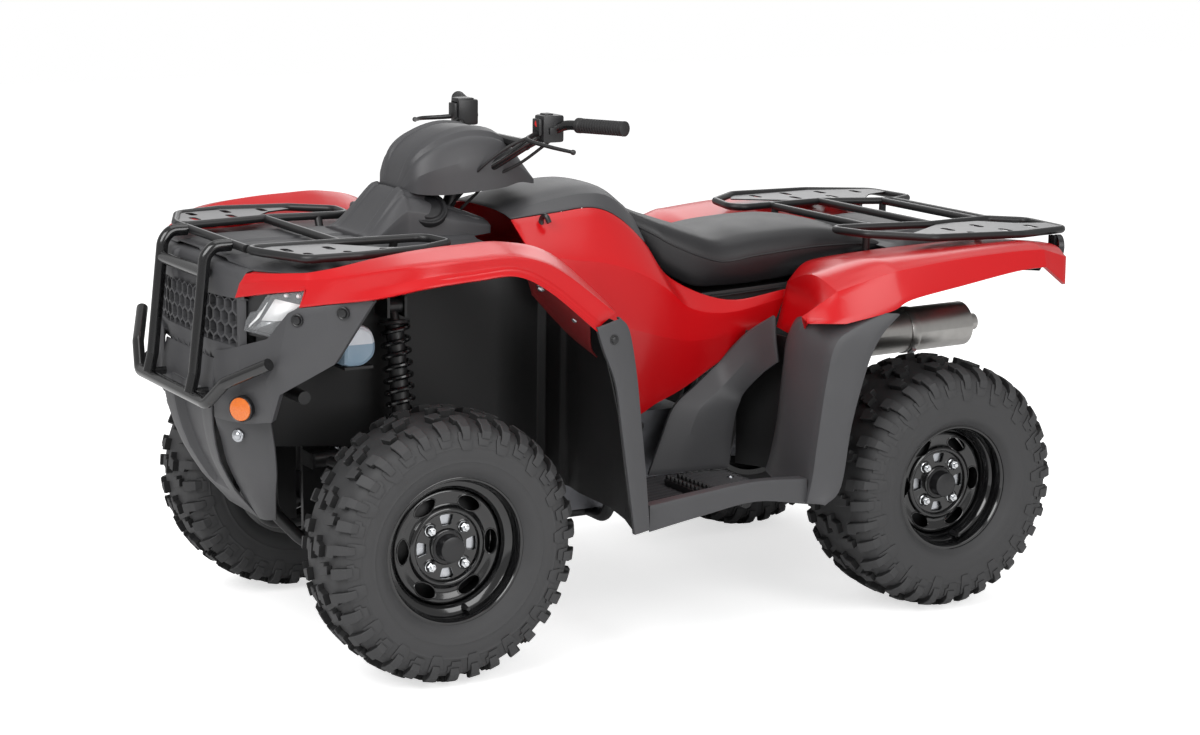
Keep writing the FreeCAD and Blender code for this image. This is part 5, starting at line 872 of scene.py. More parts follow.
LOWER_COVER_ROWS = (
    ((0.205, 0.003, 0.321), (0.205, 0.035, 0.400), (0.205, 0.069, 0.475), (0.205, 0.130, 0.523),
     (0.206, 0.191, 0.572), (0.250, 0.235, 0.640), (0.320, 0.262, 0.690)),
    ((0.226, 0.074, 0.326), (0.228, 0.095, 0.400), (0.232, 0.119, 0.466), (0.234, 0.155, 0.498),
     (0.238, 0.192, 0.531), (0.276, 0.235, 0.596), (0.335, 0.256, 0.640)),
    ((0.240, 0.200, 0.326), (0.240, 0.205, 0.390), (0.244, 0.212, 0.450), (0.250, 0.218, 0.478),
     (0.258, 0.226, 0.505), (0.305, 0.242, 0.556), (0.350, 0.254, 0.590)),
)


def footwell(side, label):
    """Mud guards before and behind the board, the board with tread and peg, and the engine's flank cover."""
    shells = bmesh.new()
    inward = X * -side
    front = side_points(FRONT_GUARD_ROWS, side)
    back = [[p + inward * 0.012 for p in front[0]]]
    lip = [[p + inward * 0.010 + Y * 0.002 for p in front[-1]]]
    sheet_faces(shells, surface(back + front + lip, 6, 4, breaks=(1, 2)), flip=side == RIGHT)
    for table, flip in ((REAR_GUARD_ROWS, side == RIGHT), (LOWER_COVER_ROWS, side == LEFT)):
        rows = side_points(table, side)
        inner = [[p + inward * 0.012 + Y * 0.004 for p in rows[0]]]
        sheet_faces(shells, surface(inner + rows, 6, 5, breaks=(1, 2)), flip=flip)
    sheet_faces(shells, surface(side_points(BOARD_ROWS, side), 6, 4, breaks=(1, 2, 3)), flip=side == LEFT)
    piece("footwell_shells_" + label, shells, [grey_panel], "chassis", ["footwell_" + label], "dark_plastic",
          wall=0.004, edge=0.0018, angle=16)
    bm = bmesh.new()
    board_ribs(bm, side)
    foot_peg(bm, side)
    bolt_head(bm, at(side * 0.5635, -0.300, 0.722), X * side, 0.0075, material=1)
    bolt_head(bm, at(side * 0.486, 0.283, 0.677), Vector((side * 0.46, -0.89, 0)), 0.007, material=1)
    for x, y in ((0.30, -0.16), (0.46, -0.16), (0.30, 0.165), (0.46, 0.165)):
        bolt_head(bm, at(side * x, y, 0.320), Z, material=3)
    piece("footwell_tread_" + label, bm, [grey_panel, black_abs, satin_paint, bright_zinc], "chassis", (),
          "dark_plastic")


COVER_CREASE = ((-0.988, 0.874), (-0.940, 0.880), (-0.905, 0.882), (-0.895, 0.883), (-0.850, 0.884),
                (-0.790, 0.884), (-0.700, 0.884), (-0.610, 0.884), (-0.510, 0.884), (-0.410, 0.884))
# Ridges pressed into the deck: place across and lift
COVER_RIDGES = ((-0.150, 0), (-0.135, 0.006), (-0.022, 0.006), (-0.014, 0.001), (0.014, 0.001),
                (0.022, 0.006), (0.135, 0.006), (0.150, 0))


def front_cover():
    """Dark deck under the front rack, with its raised middle pressed up and two long recesses."""
    edge = FENDER_ROWS[0][:len(COVER_CREASE)]
    rows = [[at(side * (x - 0.0005), y, z) for x, y, z in edge] for side in (RIGHT, LEFT)]
    middle = [[at(x, y, z + lift) for y, z in COVER_CREASE] for x, lift in COVER_RIDGES]
    bm = bmesh.new()
    sheet_faces(bm, surface([rows[0]] + middle + [rows[1]], 4, 3, breaks=tuple(range(1, 9))))
    piece("front_cover", bm, [grey_panel], "chassis", ["front_cover"], "dark_plastic", wall=0.0035,
          edge=0.002, angle=14)


SHIELD_ROWS = (
    ((0.150, -1.024, 0.690), (0.203, -1.013, 0.701), (0.240, -1.006, 0.712), (0.324, -0.977, 0.739),
     (0.371, -0.950, 0.798), (0.388, -0.937, 0.809), (0.440, -0.896, 0.820), (0.494, -0.822, 0.833)),
    ((0.150, -1.026, 0.548), (0.198, -1.015, 0.548), (0.262, -0.998, 0.552), (0.332, -0.972, 0.566),
     (0.351, -0.962, 0.626), (0.400, -0.924, 0.662), (0.446, -0.882, 0.699), (0.496, -0.818, 0.830)),
)
SHIELD_BOSS = ((-0.006, 0.013), (0.001, 0.013), (0.002, 0.0115), (0.001, 0.009), (0.004, 0.008),
               (0.0045, 0.005), (0.0045, 0))


def side_shields():
    """Angular shields from the bumper past the headlamps to the fenders' lower edge, with two bosses each."""
    bm = bmesh.new()
    bosses = bmesh.new()
    for side in (LEFT, RIGHT):
        rows = side_points(SHIELD_ROWS, side)
        middle = [a.lerp(b, 0.5) + Vector((side * bulge * 0.6, -bulge, 0)) for a, b, bulge in
                  zip(*rows, (0.0, 0.002, 0.008, 0.010, 0.010, 0.008, 0.005, 0.0))]
        lip = [p + Vector((-side * 0.006, 0.012, 0.004)) for p in rows[1]]
        top = [p + Vector((-side * 0.006, 0.014, -0.002)) for p in rows[0]]
        sheet_faces(bm, surface([top, rows[0], middle, rows[1], lip], 1, 4, breaks=(1, 3)), flip=side == LEFT)
        out = Vector((side * 0.66, -0.75, 0))
        for x, y, z in ((0.392, -0.938, 0.786), (0.462, -0.868, 0.806)):
            revolved(bosses, SHIELD_BOSS, facing(at(side * x, y, z) + out * 0.004, out), 28)
    piece("side_shields", bm, [grey_panel], "chassis", ["side_shields"], "dark_plastic", wall=0.004,
          edge=0.002, angle=10)
    piece("shield_bosses", bosses, [black_abs], "chassis", (), "dark_plastic")


# Skid face from its top down: height, how far forward, half widths of the face, of the opening's edge and of
# its floor, and how deep the floor lies
BUMPER_STATIONS = (
    (0.670, -1.018, 0.150, 0.090, 0.082, 0.0), (0.604, -1.031, 0.150, 0.088, 0.080, 0.0),
    (0.592, -1.032, 0.149, 0.086, 0.076, 0.018), (0.520, -1.024, 0.134, 0.078, 0.068, 0.018),
    (0.440, -1.001, 0.112, 0.064, 0.055, 0.018), (0.372, -0.963, 0.098, 0.050, 0.040, 0.014),
    (0.358, -0.952, 0.096, 0.046, 0.038, 0.0), (0.300, -0.902, 0.085, 0.040, 0.034, 0.0))
SKID_CHEEK_ROWS = (
    ((0.149, -1.026, 0.606), (0.146, -1.020, 0.546), (0.130, -1.002, 0.500), (0.113, -0.982, 0.440),
     (0.098, -0.945, 0.370), (0.088, -0.900, 0.302)),
    ((0.204, -0.988, 0.606), (0.200, -0.992, 0.546), (0.190, -0.980, 0.500), (0.175, -0.962, 0.440),
     (0.150, -0.935, 0.370), (0.115, -0.895, 0.304)),
    ((0.262, -0.950, 0.606), (0.270, -0.946, 0.546), (0.272, -0.940, 0.500), (0.258, -0.930, 0.440),
     (0.215, -0.915, 0.385), (0.140, -0.885, 0.310)),
)


def front_bumper():
    """Skid face with its long dark opening, and a cheek each side that closes it back to the frame."""
    bm = bmesh.new()
    columns = []
    for side, order in ((LEFT, (2, 3, 4)), (RIGHT, (4, 3, 2))):
        for width in order:
            columns.append([at(side * s[width], s[1] + s[5] * (width == 4), s[0]) for s in BUMPER_STATIONS])
    sheet_faces(bm, surface(columns, 2, 3, breaks=(1, 2, 3, 4), corners=(1, 2, 5, 6)), flip=True)
    for side in (LEFT, RIGHT):
        sheet_faces(bm, surface(side_points(SKID_CHEEK_ROWS, side), 3, 3), flip=side == LEFT)
        bolt_head(bm, at(side * 0.200, -0.993, 0.515), Vector((side * 0.6, -0.8, 0)), 0.007, material=1)
    piece("front_bumper", bm, [grey_panel, bright_zinc], "chassis", ["front_bumper"], "dark_plastic",
          wall=0.004, edge=0.002, angle=14)


APRON_ROWS = (
    ((0.440, 0.958, 0.816), (0.220, 0.968, 0.806), (0.0, 0.970, 0.804), (-0.220, 0.968, 0.806),
     (-0.440, 0.958, 0.816)),
    ((0.400, 0.958, 0.758), (0.220, 0.968, 0.738), (0.0, 0.970, 0.735), (-0.220, 0.968, 0.738),
     (-0.400, 0.958, 0.758)),
)


def rear_apron():
    """Black strip that closes the rear between the mudguards, with its edge turned in."""
    bm = bmesh.new()
    rows = side_points(APRON_ROWS)
    lip = [p + Y * -0.012 for p in rows[0]]
    sheet_faces(bm, surface([lip] + rows, 8, 5, breaks=(1,)))
    piece("rear_apron", bm, [black_panel], "chassis", ["rear_apron"], "dark_plastic", wall=0.004, edge=0.002,
          angle=20)


TANK_ROWS = (
    ((0.125, -0.330, 0.932), (0.125, -0.221, 0.955), (0.125, -0.127, 0.966), (0.122, -0.060, 0.953),
     (0.120, 0.004, 0.900)),
    ((0.060, -0.330, 0.938), (0.060, -0.221, 0.968), (0.060, -0.127, 0.982), (0.060, -0.060, 0.972),
     (0.060, 0.000, 0.930)),
)


def tank_cover():
    """Cover over the tank between the red side panels, with the selector's hook-shaped lever."""
    seam = [at(x - 0.0025, y, z) for x, y, z in SIDE_PANEL_ROWS[0][:5]]
    rows = [seam] + side_points(TANK_ROWS)
    other = [[Vector((-p.x, p.y, p.z)) for p in row] for row in rows[::-1]]
    bm = bmesh.new()
    sheet_faces(bm, surface(rows + other, 8, 5, breaks=(1, 4)), flip=True)
    piece("tank_cover", bm, [grey_panel], "chassis", ["tank_cover"], "dark_plastic", wall=0.0035, edge=0.002,
          angle=14)
    lever = bmesh.new()
    line = through([at(0.166, -0.262, 0.880), at(0.170, -0.262, 0.905), at(0.173, -0.262, 0.925),
                    at(0.186, -0.258, 0.932), at(0.194, -0.254, 0.918)], 6)
    round_bar(lever, line, 0.006, segments=10)
    piece("selector_lever", lever, [black_abs], "chassis", (), "dark_plastic")


# Bands across half of a cover: share of its half width, and lift
COVER_BANDS = ((1.0, 0.0), (0.86, 0.0), (0.76, 0.0), (0.70, 0.008), (0.50, 0.008), (0.44, 0.0), (0.22, 0.0))
CROWN_POWER = 2.4
# Sections of the covers from front to back: place, foot, crown and half width
POD_STATIONS = (
    (-0.545, 0.990, 1.003, 0.062), (-0.524, 0.984, 1.062, 0.096), (-0.475, 0.982, 1.103, 0.116),
    (-0.401, 0.986, 1.124, 0.123), (-0.330, 0.992, 1.112, 0.122), (-0.283, 1.000, 1.068, 0.110),
    (-0.235, 0.992, 1.012, 0.085))
DASH_STATIONS = (
    (-0.655, 0.8845, 0.900, 0.118), (-0.633, 0.8845, 0.912, 0.118), (-0.566, 0.8845, 0.988, 0.108),
    (-0.545, 0.8845, 0.990, 0.108), (-0.512, 0.8845, 0.982, 0.110), (-0.440, 0.8845, 0.950, 0.114),
    (-0.350, 0.890, 0.918, 0.100))


def crowned_cover(name, stations, crown, finishes, body, replaced, extra=None):
    """Domed cover lofted over sections: flat foot, upright flank, creased bands, round crown."""
    rows = []
    for y, low, high, half in stations:
        line = [(half, low)]
        for share, lift in COVER_BANDS:
            rise = (1 - share ** CROWN_POWER) ** (1 / CROWN_POWER) if share < 1 else 0.0
            line.append((half * share, low + (high - low) * (crown + (1 - crown) * rise)
                         + lift * min(1.0, (high - low) / 0.08)))
        rows.append([at(-a, y, b) for a, b in line] + [at(0, y, high)]
                    + [at(a, y, b) for a, b in reversed(line)])
    bm = bmesh.new()
    grid = surface(rows, 3, 5, corners=(1, 3, 4, 5, 6, 10, 11, 12, 13, 15))
    sheet_faces(bm, grid)
    closed_ends(bm, grid)
    bmesh.ops.remove_doubles(bm, verts=bm.verts, dist=WELD)
    if extra:
        extra(bm)
    piece(name, bm, finishes, body, replaced, "dark_plastic", edge=0.0025, angle=22)


def dash_detail(bm):
    """Round blank boss on the dash's left shoulder and the stepped block on its right."""
    place = facing(at(0.092, -0.500, 0.952), Vector((0.70, -0.20, 0.68)))
    revolved(bm, [(-0.010, 0.044), (0.002, 0.043), (0.004, 0.040), (0.001, 0.036), (0.001, 0.031),
                  (0.006, 0.029), (0.0075, 0.024), (0.0075, 0)], place, 48, 1)
    soft_block(bm, at(-0.215, -0.560, 0.885), at(-0.100, -0.440, 0.935), edge=0.006, taper=0.12)
    soft_block(bm, at(-0.190, -0.535, 0.930), at(-0.105, -0.455, 0.962), edge=0.005, taper=0.12)


def nose_line(x):
    """How far forward the nose stands at a distance from the middle."""
    return -1.0197 + max(abs(x) - 0.12, 0) * 0.145


def on_nose(x, behind, z):
    """Point behind the nose's line by a depth."""
    return at(x, nose_line(x) + behind, z)


# Bends across the nose, and how far back each lies behind its line
COWL_BENDS = ((-0.250, 0.004), (-0.236, 0), (-0.150, 0), (-0.098, 0), (-0.088, 0.008), (0, 0.008),
              (0.088, 0.008), (0.098, 0), (0.150, 0), (0.236, 0), (0.250, 0.004))


def front_cowl():
    """Nose above the grille: rolled edge from the deck, a plain brow set back between two cheeks."""
    bm = bmesh.new()
    rows = [[] for _ in range(6)]
    for x, back in COWL_BENDS:
        front = nose_line(x) + 0.001 + back
        drop = 0.006 * abs(x) / 0.25
        section = ((-0.950, 0.8755 - drop), (front + 0.018, 0.8765 - drop), (front + 0.005, 0.871 - drop),
                   (front, 0.858 - drop), (front, 0.803 + drop), (front + 0.012, 0.801 + drop))
        for row, (y, z) in zip(rows, section):
            row.append(at(x, y, z))
    sheet_faces(bm, surface(rows, 3, 3, breaks=(3, 4), corners=(1, 3, 4, 6, 7, 9)), flip=True)
    piece("front_cowl", bm, [grey_panel], "chassis", (), "dark_plastic", wall=0.003, edge=0.0015, angle=14)


# Duct wall behind a front wheel, from the nose to the footwell: its line on the floor plan, and below it the
# heights of its lower and upper edge
WELL_PLAN = ((0.138, -0.900), (0.146, -0.700), (0.160, -0.520), (0.166, -0.413), (0.170, -0.356),
             (0.155, -0.262), (0.168, -0.244), (0.238, -0.246), (0.262, -0.236), (0.330, -0.246),
             (0.450, -0.238), (0.530, -0.246), (0.559, -0.286))
WELL_LOWEST = (0.470, 0.450, 0.420, 0.392, 0.380, 0.360, 0.336, 0.336, 0.336, 0.336, 0.330, 0.322, 0.306)
WELL_HIGHEST = (0.850, 0.852, 0.850, 0.850, 0.840, 0.800, 0.790, 0.780, 0.770, 0.750, 0.742, 0.738, 0.736)
# Flanks of the tray under the seat, hoods in the rear arches, wall behind the footwells, and the tray's floor
TRAY_FLANK = (
    ((0.150, 0.010, 0.720), (0.165, 0.200, 0.728), (0.186, 0.450, 0.745), (0.190, 0.700, 0.775),
     (0.190, 0.945, 0.785)),
    ((0.150, 0.010, 0.520), (0.165, 0.200, 0.560), (0.186, 0.450, 0.590), (0.190, 0.700, 0.660),
     (0.190, 0.945, 0.735)),
)
ARCH_HOOD = (
    ((0.208, 0.405, 0.752), (0.206, 0.450, 0.765), (0.200, 0.600, 0.778), (0.200, 0.850, 0.788)),
    ((0.520, 0.340, 0.722), (0.525, 0.430, 0.748), (0.530, 0.600, 0.778), (0.525, 0.850, 0.800)))
BACK_WALL_PLAN = ((0.190, 0.250), (0.262, 0.285), (0.335, 0.300), (0.430, 0.290))
TRAY_LINE = ((0.010, 0.716), (0.200, 0.722), (0.450, 0.738), (0.700, 0.772), (0.940, 0.782))


def wheel_wells():
    """Black duct walls behind the front wheels, and the closed tray under the seat with its flanks."""
    bm = bmesh.new()
    for side in (LEFT, RIGHT):
        rows = []
        for share, end_y in ((0.0, -0.244), (0.5, -0.274), (1.0, -0.330)):
            rows.append([at(side * x, y, low + (high - low) * share)
                         for (x, y), low, high in zip(WELL_PLAN, WELL_LOWEST, WELL_HIGHEST)])
            rows[-1][-1].y = end_y + CENTRE_SHIFT
        sheet_faces(bm, surface(rows, 3, 2, corners=(3, 4, 5, 6, 7, 9, 10, 11)), flip=side == LEFT)
        sheet_faces(bm, surface(side_points(TRAY_FLANK, side), 5, 4), flip=side == LEFT)
        sheet_faces(bm, surface(side_points(ARCH_HOOD, side), 5, 4), flip=side == RIGHT)
        back_wall = [[at(side * x, y, z) for x, y in BACK_WALL_PLAN] for z in (0.322, 0.480, 0.640)]
        sheet_faces(bm, surface(back_wall, 3, 2), flip=side == LEFT)
    tray = [[at(x, y, z) for x in (-0.186, -0.09, 0.0, 0.09, 0.186)] for y, z in TRAY_LINE]
    sheet_faces(bm, surface(tray, 3, 4))
    # Wells, tray and walls in the darker recess black: painted shade of the cavities
    piece("wheel_wells", bm, [recess_shade_plastic], "chassis", (), "dark_plastic", wall=0.003, edge=0.001,
          angle=14)


# Seat

# Sections of the saddle from front to back: place, skirt's edge, seam, crown and half width
SEAT_STATIONS = ((0.001, 0.862, 0.893, 0.930, 0.116), (0.050, 0.800, 0.870, 0.910, 0.140),
                 (0.083, 0.775, 0.850, 0.899, 0.150), (0.151, 0.742, 0.820, 0.877, 0.162),
                 (0.220, 0.738, 0.800, 0.859, 0.168), (0.312, 0.740, 0.810, 0.868, 0.172),
                 (0.444, 0.752, 0.820, 0.873, 0.176), (0.540, 0.768, 0.820, 0.863, 0.174),
                 (0.624, 0.785, 0.815, 0.838, 0.165), (0.680, 0.795, 0.806, 0.815, 0.150))
# The welt's columns in the saddle's grid, left and right
WELT_LINES = (9, -10)
WELT_RADIUS = 0.0022


def seat():
    """Foam saddle under taut vinyl: crowned over its length and width, with a welted seam round its flank."""
    rows = []
    for y, low, edge, high, half in SEAT_STATIONS:
        skirt, rise = edge - low, high - edge
        side = [(half * 0.88, low), (half * 0.97, low + skirt * 0.4), (half, edge - skirt * 0.15),
                (half * 0.97, edge + rise * 0.25), (half * 0.86, edge + rise * 0.66),
                (half * 0.62, high - rise * 0.14), (half * 0.32, high - rise * 0.03)]
        rows.append([at(-a, y, b) for a, b in side] + [at(0, y, high)]
                    + [at(a, y, b) for a, b in reversed(side)])
    grid = surface(rows, 4, 6)
    bm = bmesh.new()
    sheet_faces(bm, grid)
    closed_ends(bm, grid)
    sheet_faces(bm, [[row[0], row[-1]] for row in grid], flip=True)
    bmesh.ops.remove_doubles(bm, verts=bm.verts, dist=WELD)
    cushion = piece("seat", bm, [seat_vinyl], "chassis", ["seat"], "seat_cover", edge=0.004, angle=40)
    welt = bmesh.new()
    for k in WELT_LINES:
        round_bar(welt, [row[k] for row in grid], WELT_RADIUS, segments=8)
    piece("seat_welt", welt, [seat_vinyl], "chassis", (), "seat_cover")


# Suspension, lamps and small parts

# Points to each turn of a spring, radius of its coil and of its wire
COIL_STEPS = 26
COIL_RADIUS = 0.0279
COIL_WIRE = 0.0058


def coil_over(bm, top, foot, eye_axis, coils=9):
    """Damper with eyes, body, rod, spring seats and a helical spring of round wire."""
    along = foot - top
    length = along.length
    matrix = facing(top, along)
    half = 0.017
    for place in (top, foot):
        revolved(bm, [(-half, 0), (-half, 0.015), (-half + 0.001, 0.016), (half - 0.001, 0.016),
                      (half, 0.015), (half, 0)], facing(place, eye_axis), 28)
    revolved(bm, [(0.012, 0.010), (0.030, 0.013), (0.032, 0.033), (0.038, 0.034), (0.040, 0.031),
                  (0.041, 0.020), (length * 0.58, 0.020), (length * 0.585, 0.017), (length * 0.6, 0.0085),
                  (length - 0.016, 0.0085)], matrix, 36)
    end = length * 0.80
    revolved(bm, [(end - 0.008, 0.012), (end - 0.006, 0.033), (end + 0.002, 0.034), (end + 0.004, 0.026),
                  (end + 0.016, 0.014), (length - 0.014, 0.011)], matrix, 36)
    start, rise = 0.044, end - 0.012 - 0.044
    turns = []
    for i in range(coils * COIL_STEPS + 1):
        q = math.tau * i / COIL_STEPS
        turns.append(matrix @ Vector((start + rise * i / (coils * COIL_STEPS),
                                      COIL_RADIUS * math.cos(q), COIL_RADIUS * math.sin(q))))
    round_bar(bm, turns, COIL_WIRE, 1, 10)


def shocks():
    """Coil-over dampers: one at each front wheel and one behind."""
    bm = bmesh.new()
    for side in (LEFT, RIGHT):
        coil_over(bm, at(side * 0.195, -0.634, 0.762), at(side * 0.280, -0.634, 0.285), Y, coils=13)
    piece("front_shocks", bm, [satin_paint, spring_paint], "chassis", ["front_shocks"], "black_metal",
          angle=35)
    bm = bmesh.new()
    coil_over(bm, at(0, 0.435, 0.650), at(0, 0.560, 0.365), X)
    piece("rear_shock", bm, [satin_paint, spring_paint], "chassis", ["rear_shock"], "black_metal", angle=35)


# Outline of a lens, its place on the frame's face behind, that face, and the bezel above and below
LENS_OUTLINE = ((0.249, -1.000, 0.745), (0.255, -0.998, 0.767), (0.269, -0.993, 0.787),
                (0.287, -0.986, 0.792), (0.312, -0.972, 0.829), (0.398, -0.920, 0.846),
                (0.392, -0.926, 0.806), (0.371, -0.941, 0.790), (0.331, -0.966, 0.740))
LENS_SEAT = ((0.249, 0.755), (0.253, 0.767), (0.262, 0.787), (0.275, 0.792), (0.295, 0.822), (0.345, 0.826),
             (0.345, 0.806), (0.335, 0.790), (0.310, 0.755))
LAMP_BACK = -0.8843
BEZEL_ROWS = (
    ((0.228, -0.991, 0.812), (0.300, -0.966, 0.838), (0.405, -0.900, 0.860)),
    ((0.232, -0.991, 0.735), (0.262, -0.978, 0.735), (0.330, -0.950, 0.730)))


def headlamps():
    """Clear lens over the open dark bowl of each headlamp, in a dark bezel."""
    housing = bmesh.new()
    lens = bmesh.new()
    for side in (LEFT, RIGHT):
        front = [at(side * x, y + 0.004, z) for x, y, z in LENS_OUTLINE]
        back = [at(side * x, LAMP_BACK, z) for x, z in LENS_SEAT]
        centre = sum(front, Vector()) / len(front)

        def within(share, across, behind):
            """The lens's outline drawn in by a share and moved across and back."""
            return [p.lerp(centre, share) + Vector((side * across, behind, 0)) for p in front]

        mouth, floor = within(0.03, -0.0012, 0.0024), within(0.05, -0.006, 0.040)
        for a, b in ((front, back), (front, mouth), (mouth, floor)):
            bridge(housing, ring(housing, a), ring(housing, b))
        housing.faces.new(ring(housing, floor))
        housing.faces.new(ring(housing, back))
        sheet_faces(housing, surface(side_points(BEZEL_ROWS, side), 3, 3), flip=side == RIGHT)
        outer, crown = ring(lens, within(0.03, 0.001, -0.0015)), ring(lens, within(0.45, 0.003, -0.004))
        bridge(lens, outer, crown)
        lens.faces.new(crown)
    piece("headlamp_housings", housing, [black_abs], "chassis", ["headlamps"], "dark_plastic", angle=12)
    piece("headlamp_lenses", lens, [clear_lens], "chassis", (), "clear_lens", wall=0.0022, edge=0.001,
          angle=20)


# Facets of a lamp's reflector: finish, and corners as (across, along, up, depth behind the lens)
LAMP_FACETS = (
    (0, ((0.319, -0.958, 0.819, 0.001), (0.377, -0.926, 0.813, 0.001), (0.361, -0.936, 0.799, -0.001),
         (0.345, -0.945, 0.778, -0.002), (0.318, -0.958, 0.773, -0.003), (0.286, -0.973, 0.771, -0.002))),
    (1, ((0.297, -0.968, 0.823, 0.006), (0.320, -0.957, 0.829, 0.012), (0.287, -0.973, 0.771, 0.005),
         (0.263, -0.985, 0.750, 0.003), (0.240, -0.993, 0.744, 0.001), (0.236, -0.993, 0.752, 0.001),
         (0.256, -0.987, 0.783, 0.003), (0.272, -0.980, 0.787, 0.004))),
    (0, ((0.303, -0.965, 0.822, 0.001), (0.309, -0.962, 0.824, 0.001), (0.281, -0.976, 0.776, -0.001),
         (0.249, -0.989, 0.749, -0.001), (0.242, -0.992, 0.747, -0.001), (0.273, -0.980, 0.775, -0.001))),
    (1, ((0.286, -0.973, 0.770, 0.001), (0.318, -0.958, 0.772, 0.002), (0.315, -0.960, 0.757, 0.009),
         (0.280, -0.977, 0.745, 0.005), (0.263, -0.985, 0.750, 0.002))),
    (2, ((0.319, -0.957, 0.772, 0.002), (0.347, -0.944, 0.778, 0.002), (0.334, -0.950, 0.764, 0.008),
         (0.312, -0.961, 0.739, 0.010), (0.280, -0.977, 0.744, 0.006), (0.315, -0.959, 0.756, 0.010))),
)
LAMP_BULBS = ((0.345, -0.944, 0.8295), (0.371, -0.928, 0.8305))


def lamp_reflectors():
    """Metallised facets in each headlamp, painted white, grey and deep grey as painted reflection, with two
    small bulbs under the brow.
    """
    bm = bmesh.new()
    for side in (LEFT, RIGHT):
        inward = Vector((-side * 0.5, 0.87, 0))
        for index, corners in LAMP_FACETS:
            face = bm.faces.new(ring(bm, [at(side * x, y, z) + inward * (0.003 + depth)
                                          for x, y, z, depth in corners]))
            face.material_index = index
            if side == RIGHT:
                face.normal_flip()
        for x, y, z in LAMP_BULBS:
            revolved(bm, [(0.010, 0.0105), (0.006, 0.0095), (0.001, 0.0045), (-0.004, 0.004), (-0.006, 0.002),
                          (-0.0065, 0)], facing(at(side * x, y, z) + inward * 0.004, inward), 20)
    piece("headlamp_reflectors", bm, [reflector_painted_white, reflector_painted_grey, reflector_painted_dark], "chassis", (), "dark_plastic",
          wall=0.0008)


# Cup and dome of a reflector, (along, radius): the first four points are the cup's
REFLECTOR_DOME = ((0.0, 0.0275), (0.012, 0.0275), (0.0135, 0.026), (0.0125, 0.0245), (0.014, 0.0235),
                  (0.0158, 0.014), (0.0162, 0))


def reflectors():
    """Round acrylic reflectors in their dark cups, and the tail lamp."""
    bm = bmesh.new()
    for side in (LEFT, RIGHT):
        face = Vector((side * 0.6, -0.8, 0))
        amber = facing(at(side * 0.262, -0.998, 0.588) + face * 0.014, face)
        place = at(side * 0.418, 0.990, 0.818)
        red = facing(place, Vector((side * 0.35, 0.94, 0)).normalized())
        for axis, material in ((amber, 0), (red, 1)):
            revolved(bm, REFLECTOR_DOME[:4], axis, 40, 2)
            revolved(bm, REFLECTOR_DOME[3:], axis, 40, material)
        revolved(bm, [(-0.020, 0.009), (0.0, 0.009)], amber, 20, 2)
        soft_block(bm, place - Vector((0.016, 0.010, 0.0)),
                   Vector((place.x + 0.008, place.y + 0.002, 0.8435)), 2, edge=0.0015)
    piece("reflectors", bm, [amber_acrylic, red_acrylic, black_abs], "chassis", ["reflectors"],
          "reflector_plastic")
    lamp = bmesh.new()
    y = 0.970 + CENTRE_SHIFT + 0.0043
    soft_block(lamp, Vector((-0.055, y, 0.752)), Vector((0.055, y + 0.018, 0.792)), edge=0.006)
    piece("tail_lamp", lamp, [red_acrylic], "chassis", ["tail_lamp"], "reflector_plastic", edge=0.001)


# Field of the grille: half width, half width of its deeper middle, lower edges there and outside, upper edge
# and depth
GRILLE = dict(half=0.236, inner=0.118, low=0.676, outer_low=0.704, high=0.800, depth=0.014)
# Pitch of the honeycomb, and the loops of each cell: share of its size and depth
CELL = 0.032
CELL_LOOPS = ((1.0, 0.0), (0.86, 0.0), (0.81, 0.0025), (0.81, 0.014))


def grille():
    """Open honeycomb of thin webs across the nose, before a dark backing."""
    bm = bmesh.new()
    g = GRILLE
    hexagon = [Vector((math.sin(math.tau * k / 6), 0, math.cos(math.tau * k / 6))) * (CELL / math.sqrt(3))
               for k in range(6)]
    row = 0
    z = g["high"] - 0.008
    while z > g["low"] - 0.004:
        for column in range(-9, 10):
            cx = (column + 0.5 * (row % 2)) * CELL
            lowest = g["low"] if abs(cx) < g["inner"] else g["outer_low"]
            if abs(cx) > g["half"] - CELL * 0.3 or z < lowest:
                continue
            loops = [ring(bm, [on_nose(cx + c.x * scale, 0.002 + sink, z + c.z * scale) for c in hexagon])
                     for scale, sink in CELL_LOOPS]
            for a, b in zip(loops, loops[1:]):
                bridge(bm, a, b)
        z -= CELL * math.sqrt(3) / 2
        row += 1
    # Backing behind the cells, in the darker recess black as painted shade
    for left, right, low in ((-0.240, -0.118, 0.688), (-0.118, 0.118, 0.670), (0.118, 0.240, 0.688)):
        backing = [[on_nose(x, g["depth"] + 0.004, height) for x in (left, (left + right) / 2, right)]
                   for height in (g["high"] + 0.012, low)]
        sheet_faces(bm, backing, material=1)
    for side in (LEFT, RIGHT):
        post = [[on_nose(side * x, sink, z) for z in (0.812, 0.760, 0.704)] for x, sink in
                ((0.228, 0.012), (0.228, 0.001), (0.240, 0.0), (0.246, 0.012))]
        sheet_faces(bm, surface(post, 3, 2, breaks=(1, 2)), flip=side == RIGHT)
    shelf = [[on_nose(x, sink, z) for x in (-0.236, -0.150, -0.118, 0, 0.118, 0.150, 0.236)] for sink, z in
             ((0.014, 0.712), (0.0, 0.708), (0.0, 0.690), (0.006, 0.668))]
    sheet_faces(bm, surface(shelf, 2, 2, breaks=(1, 2)), flip=True)
    piece("grille", bm, [grey_panel, recess_shade_plastic], "chassis", ["grille"], "dark_plastic")


BOTTLE_OUTLINE = ((-0.790, 0.660), (-0.786, 0.728), (-0.770, 0.741), (-0.745, 0.742), (-0.724, 0.728),
                  (-0.716, 0.700), (-0.720, 0.676), (-0.738, 0.660), (-0.752, 0.6555), (-0.775, 0.6555))
# Sections across the bottle: place, and how far the outline is drawn in there
BOTTLE_SECTIONS = ((0.212, 0.010), (0.216, 0.003), (0.224, 0.0), (0.276, 0.0), (0.284, 0.003), (0.288, 0.010))
BOTTLE_MIDDLE = Vector((0, -0.753, 0.700))
FILL_LINE = 0.703


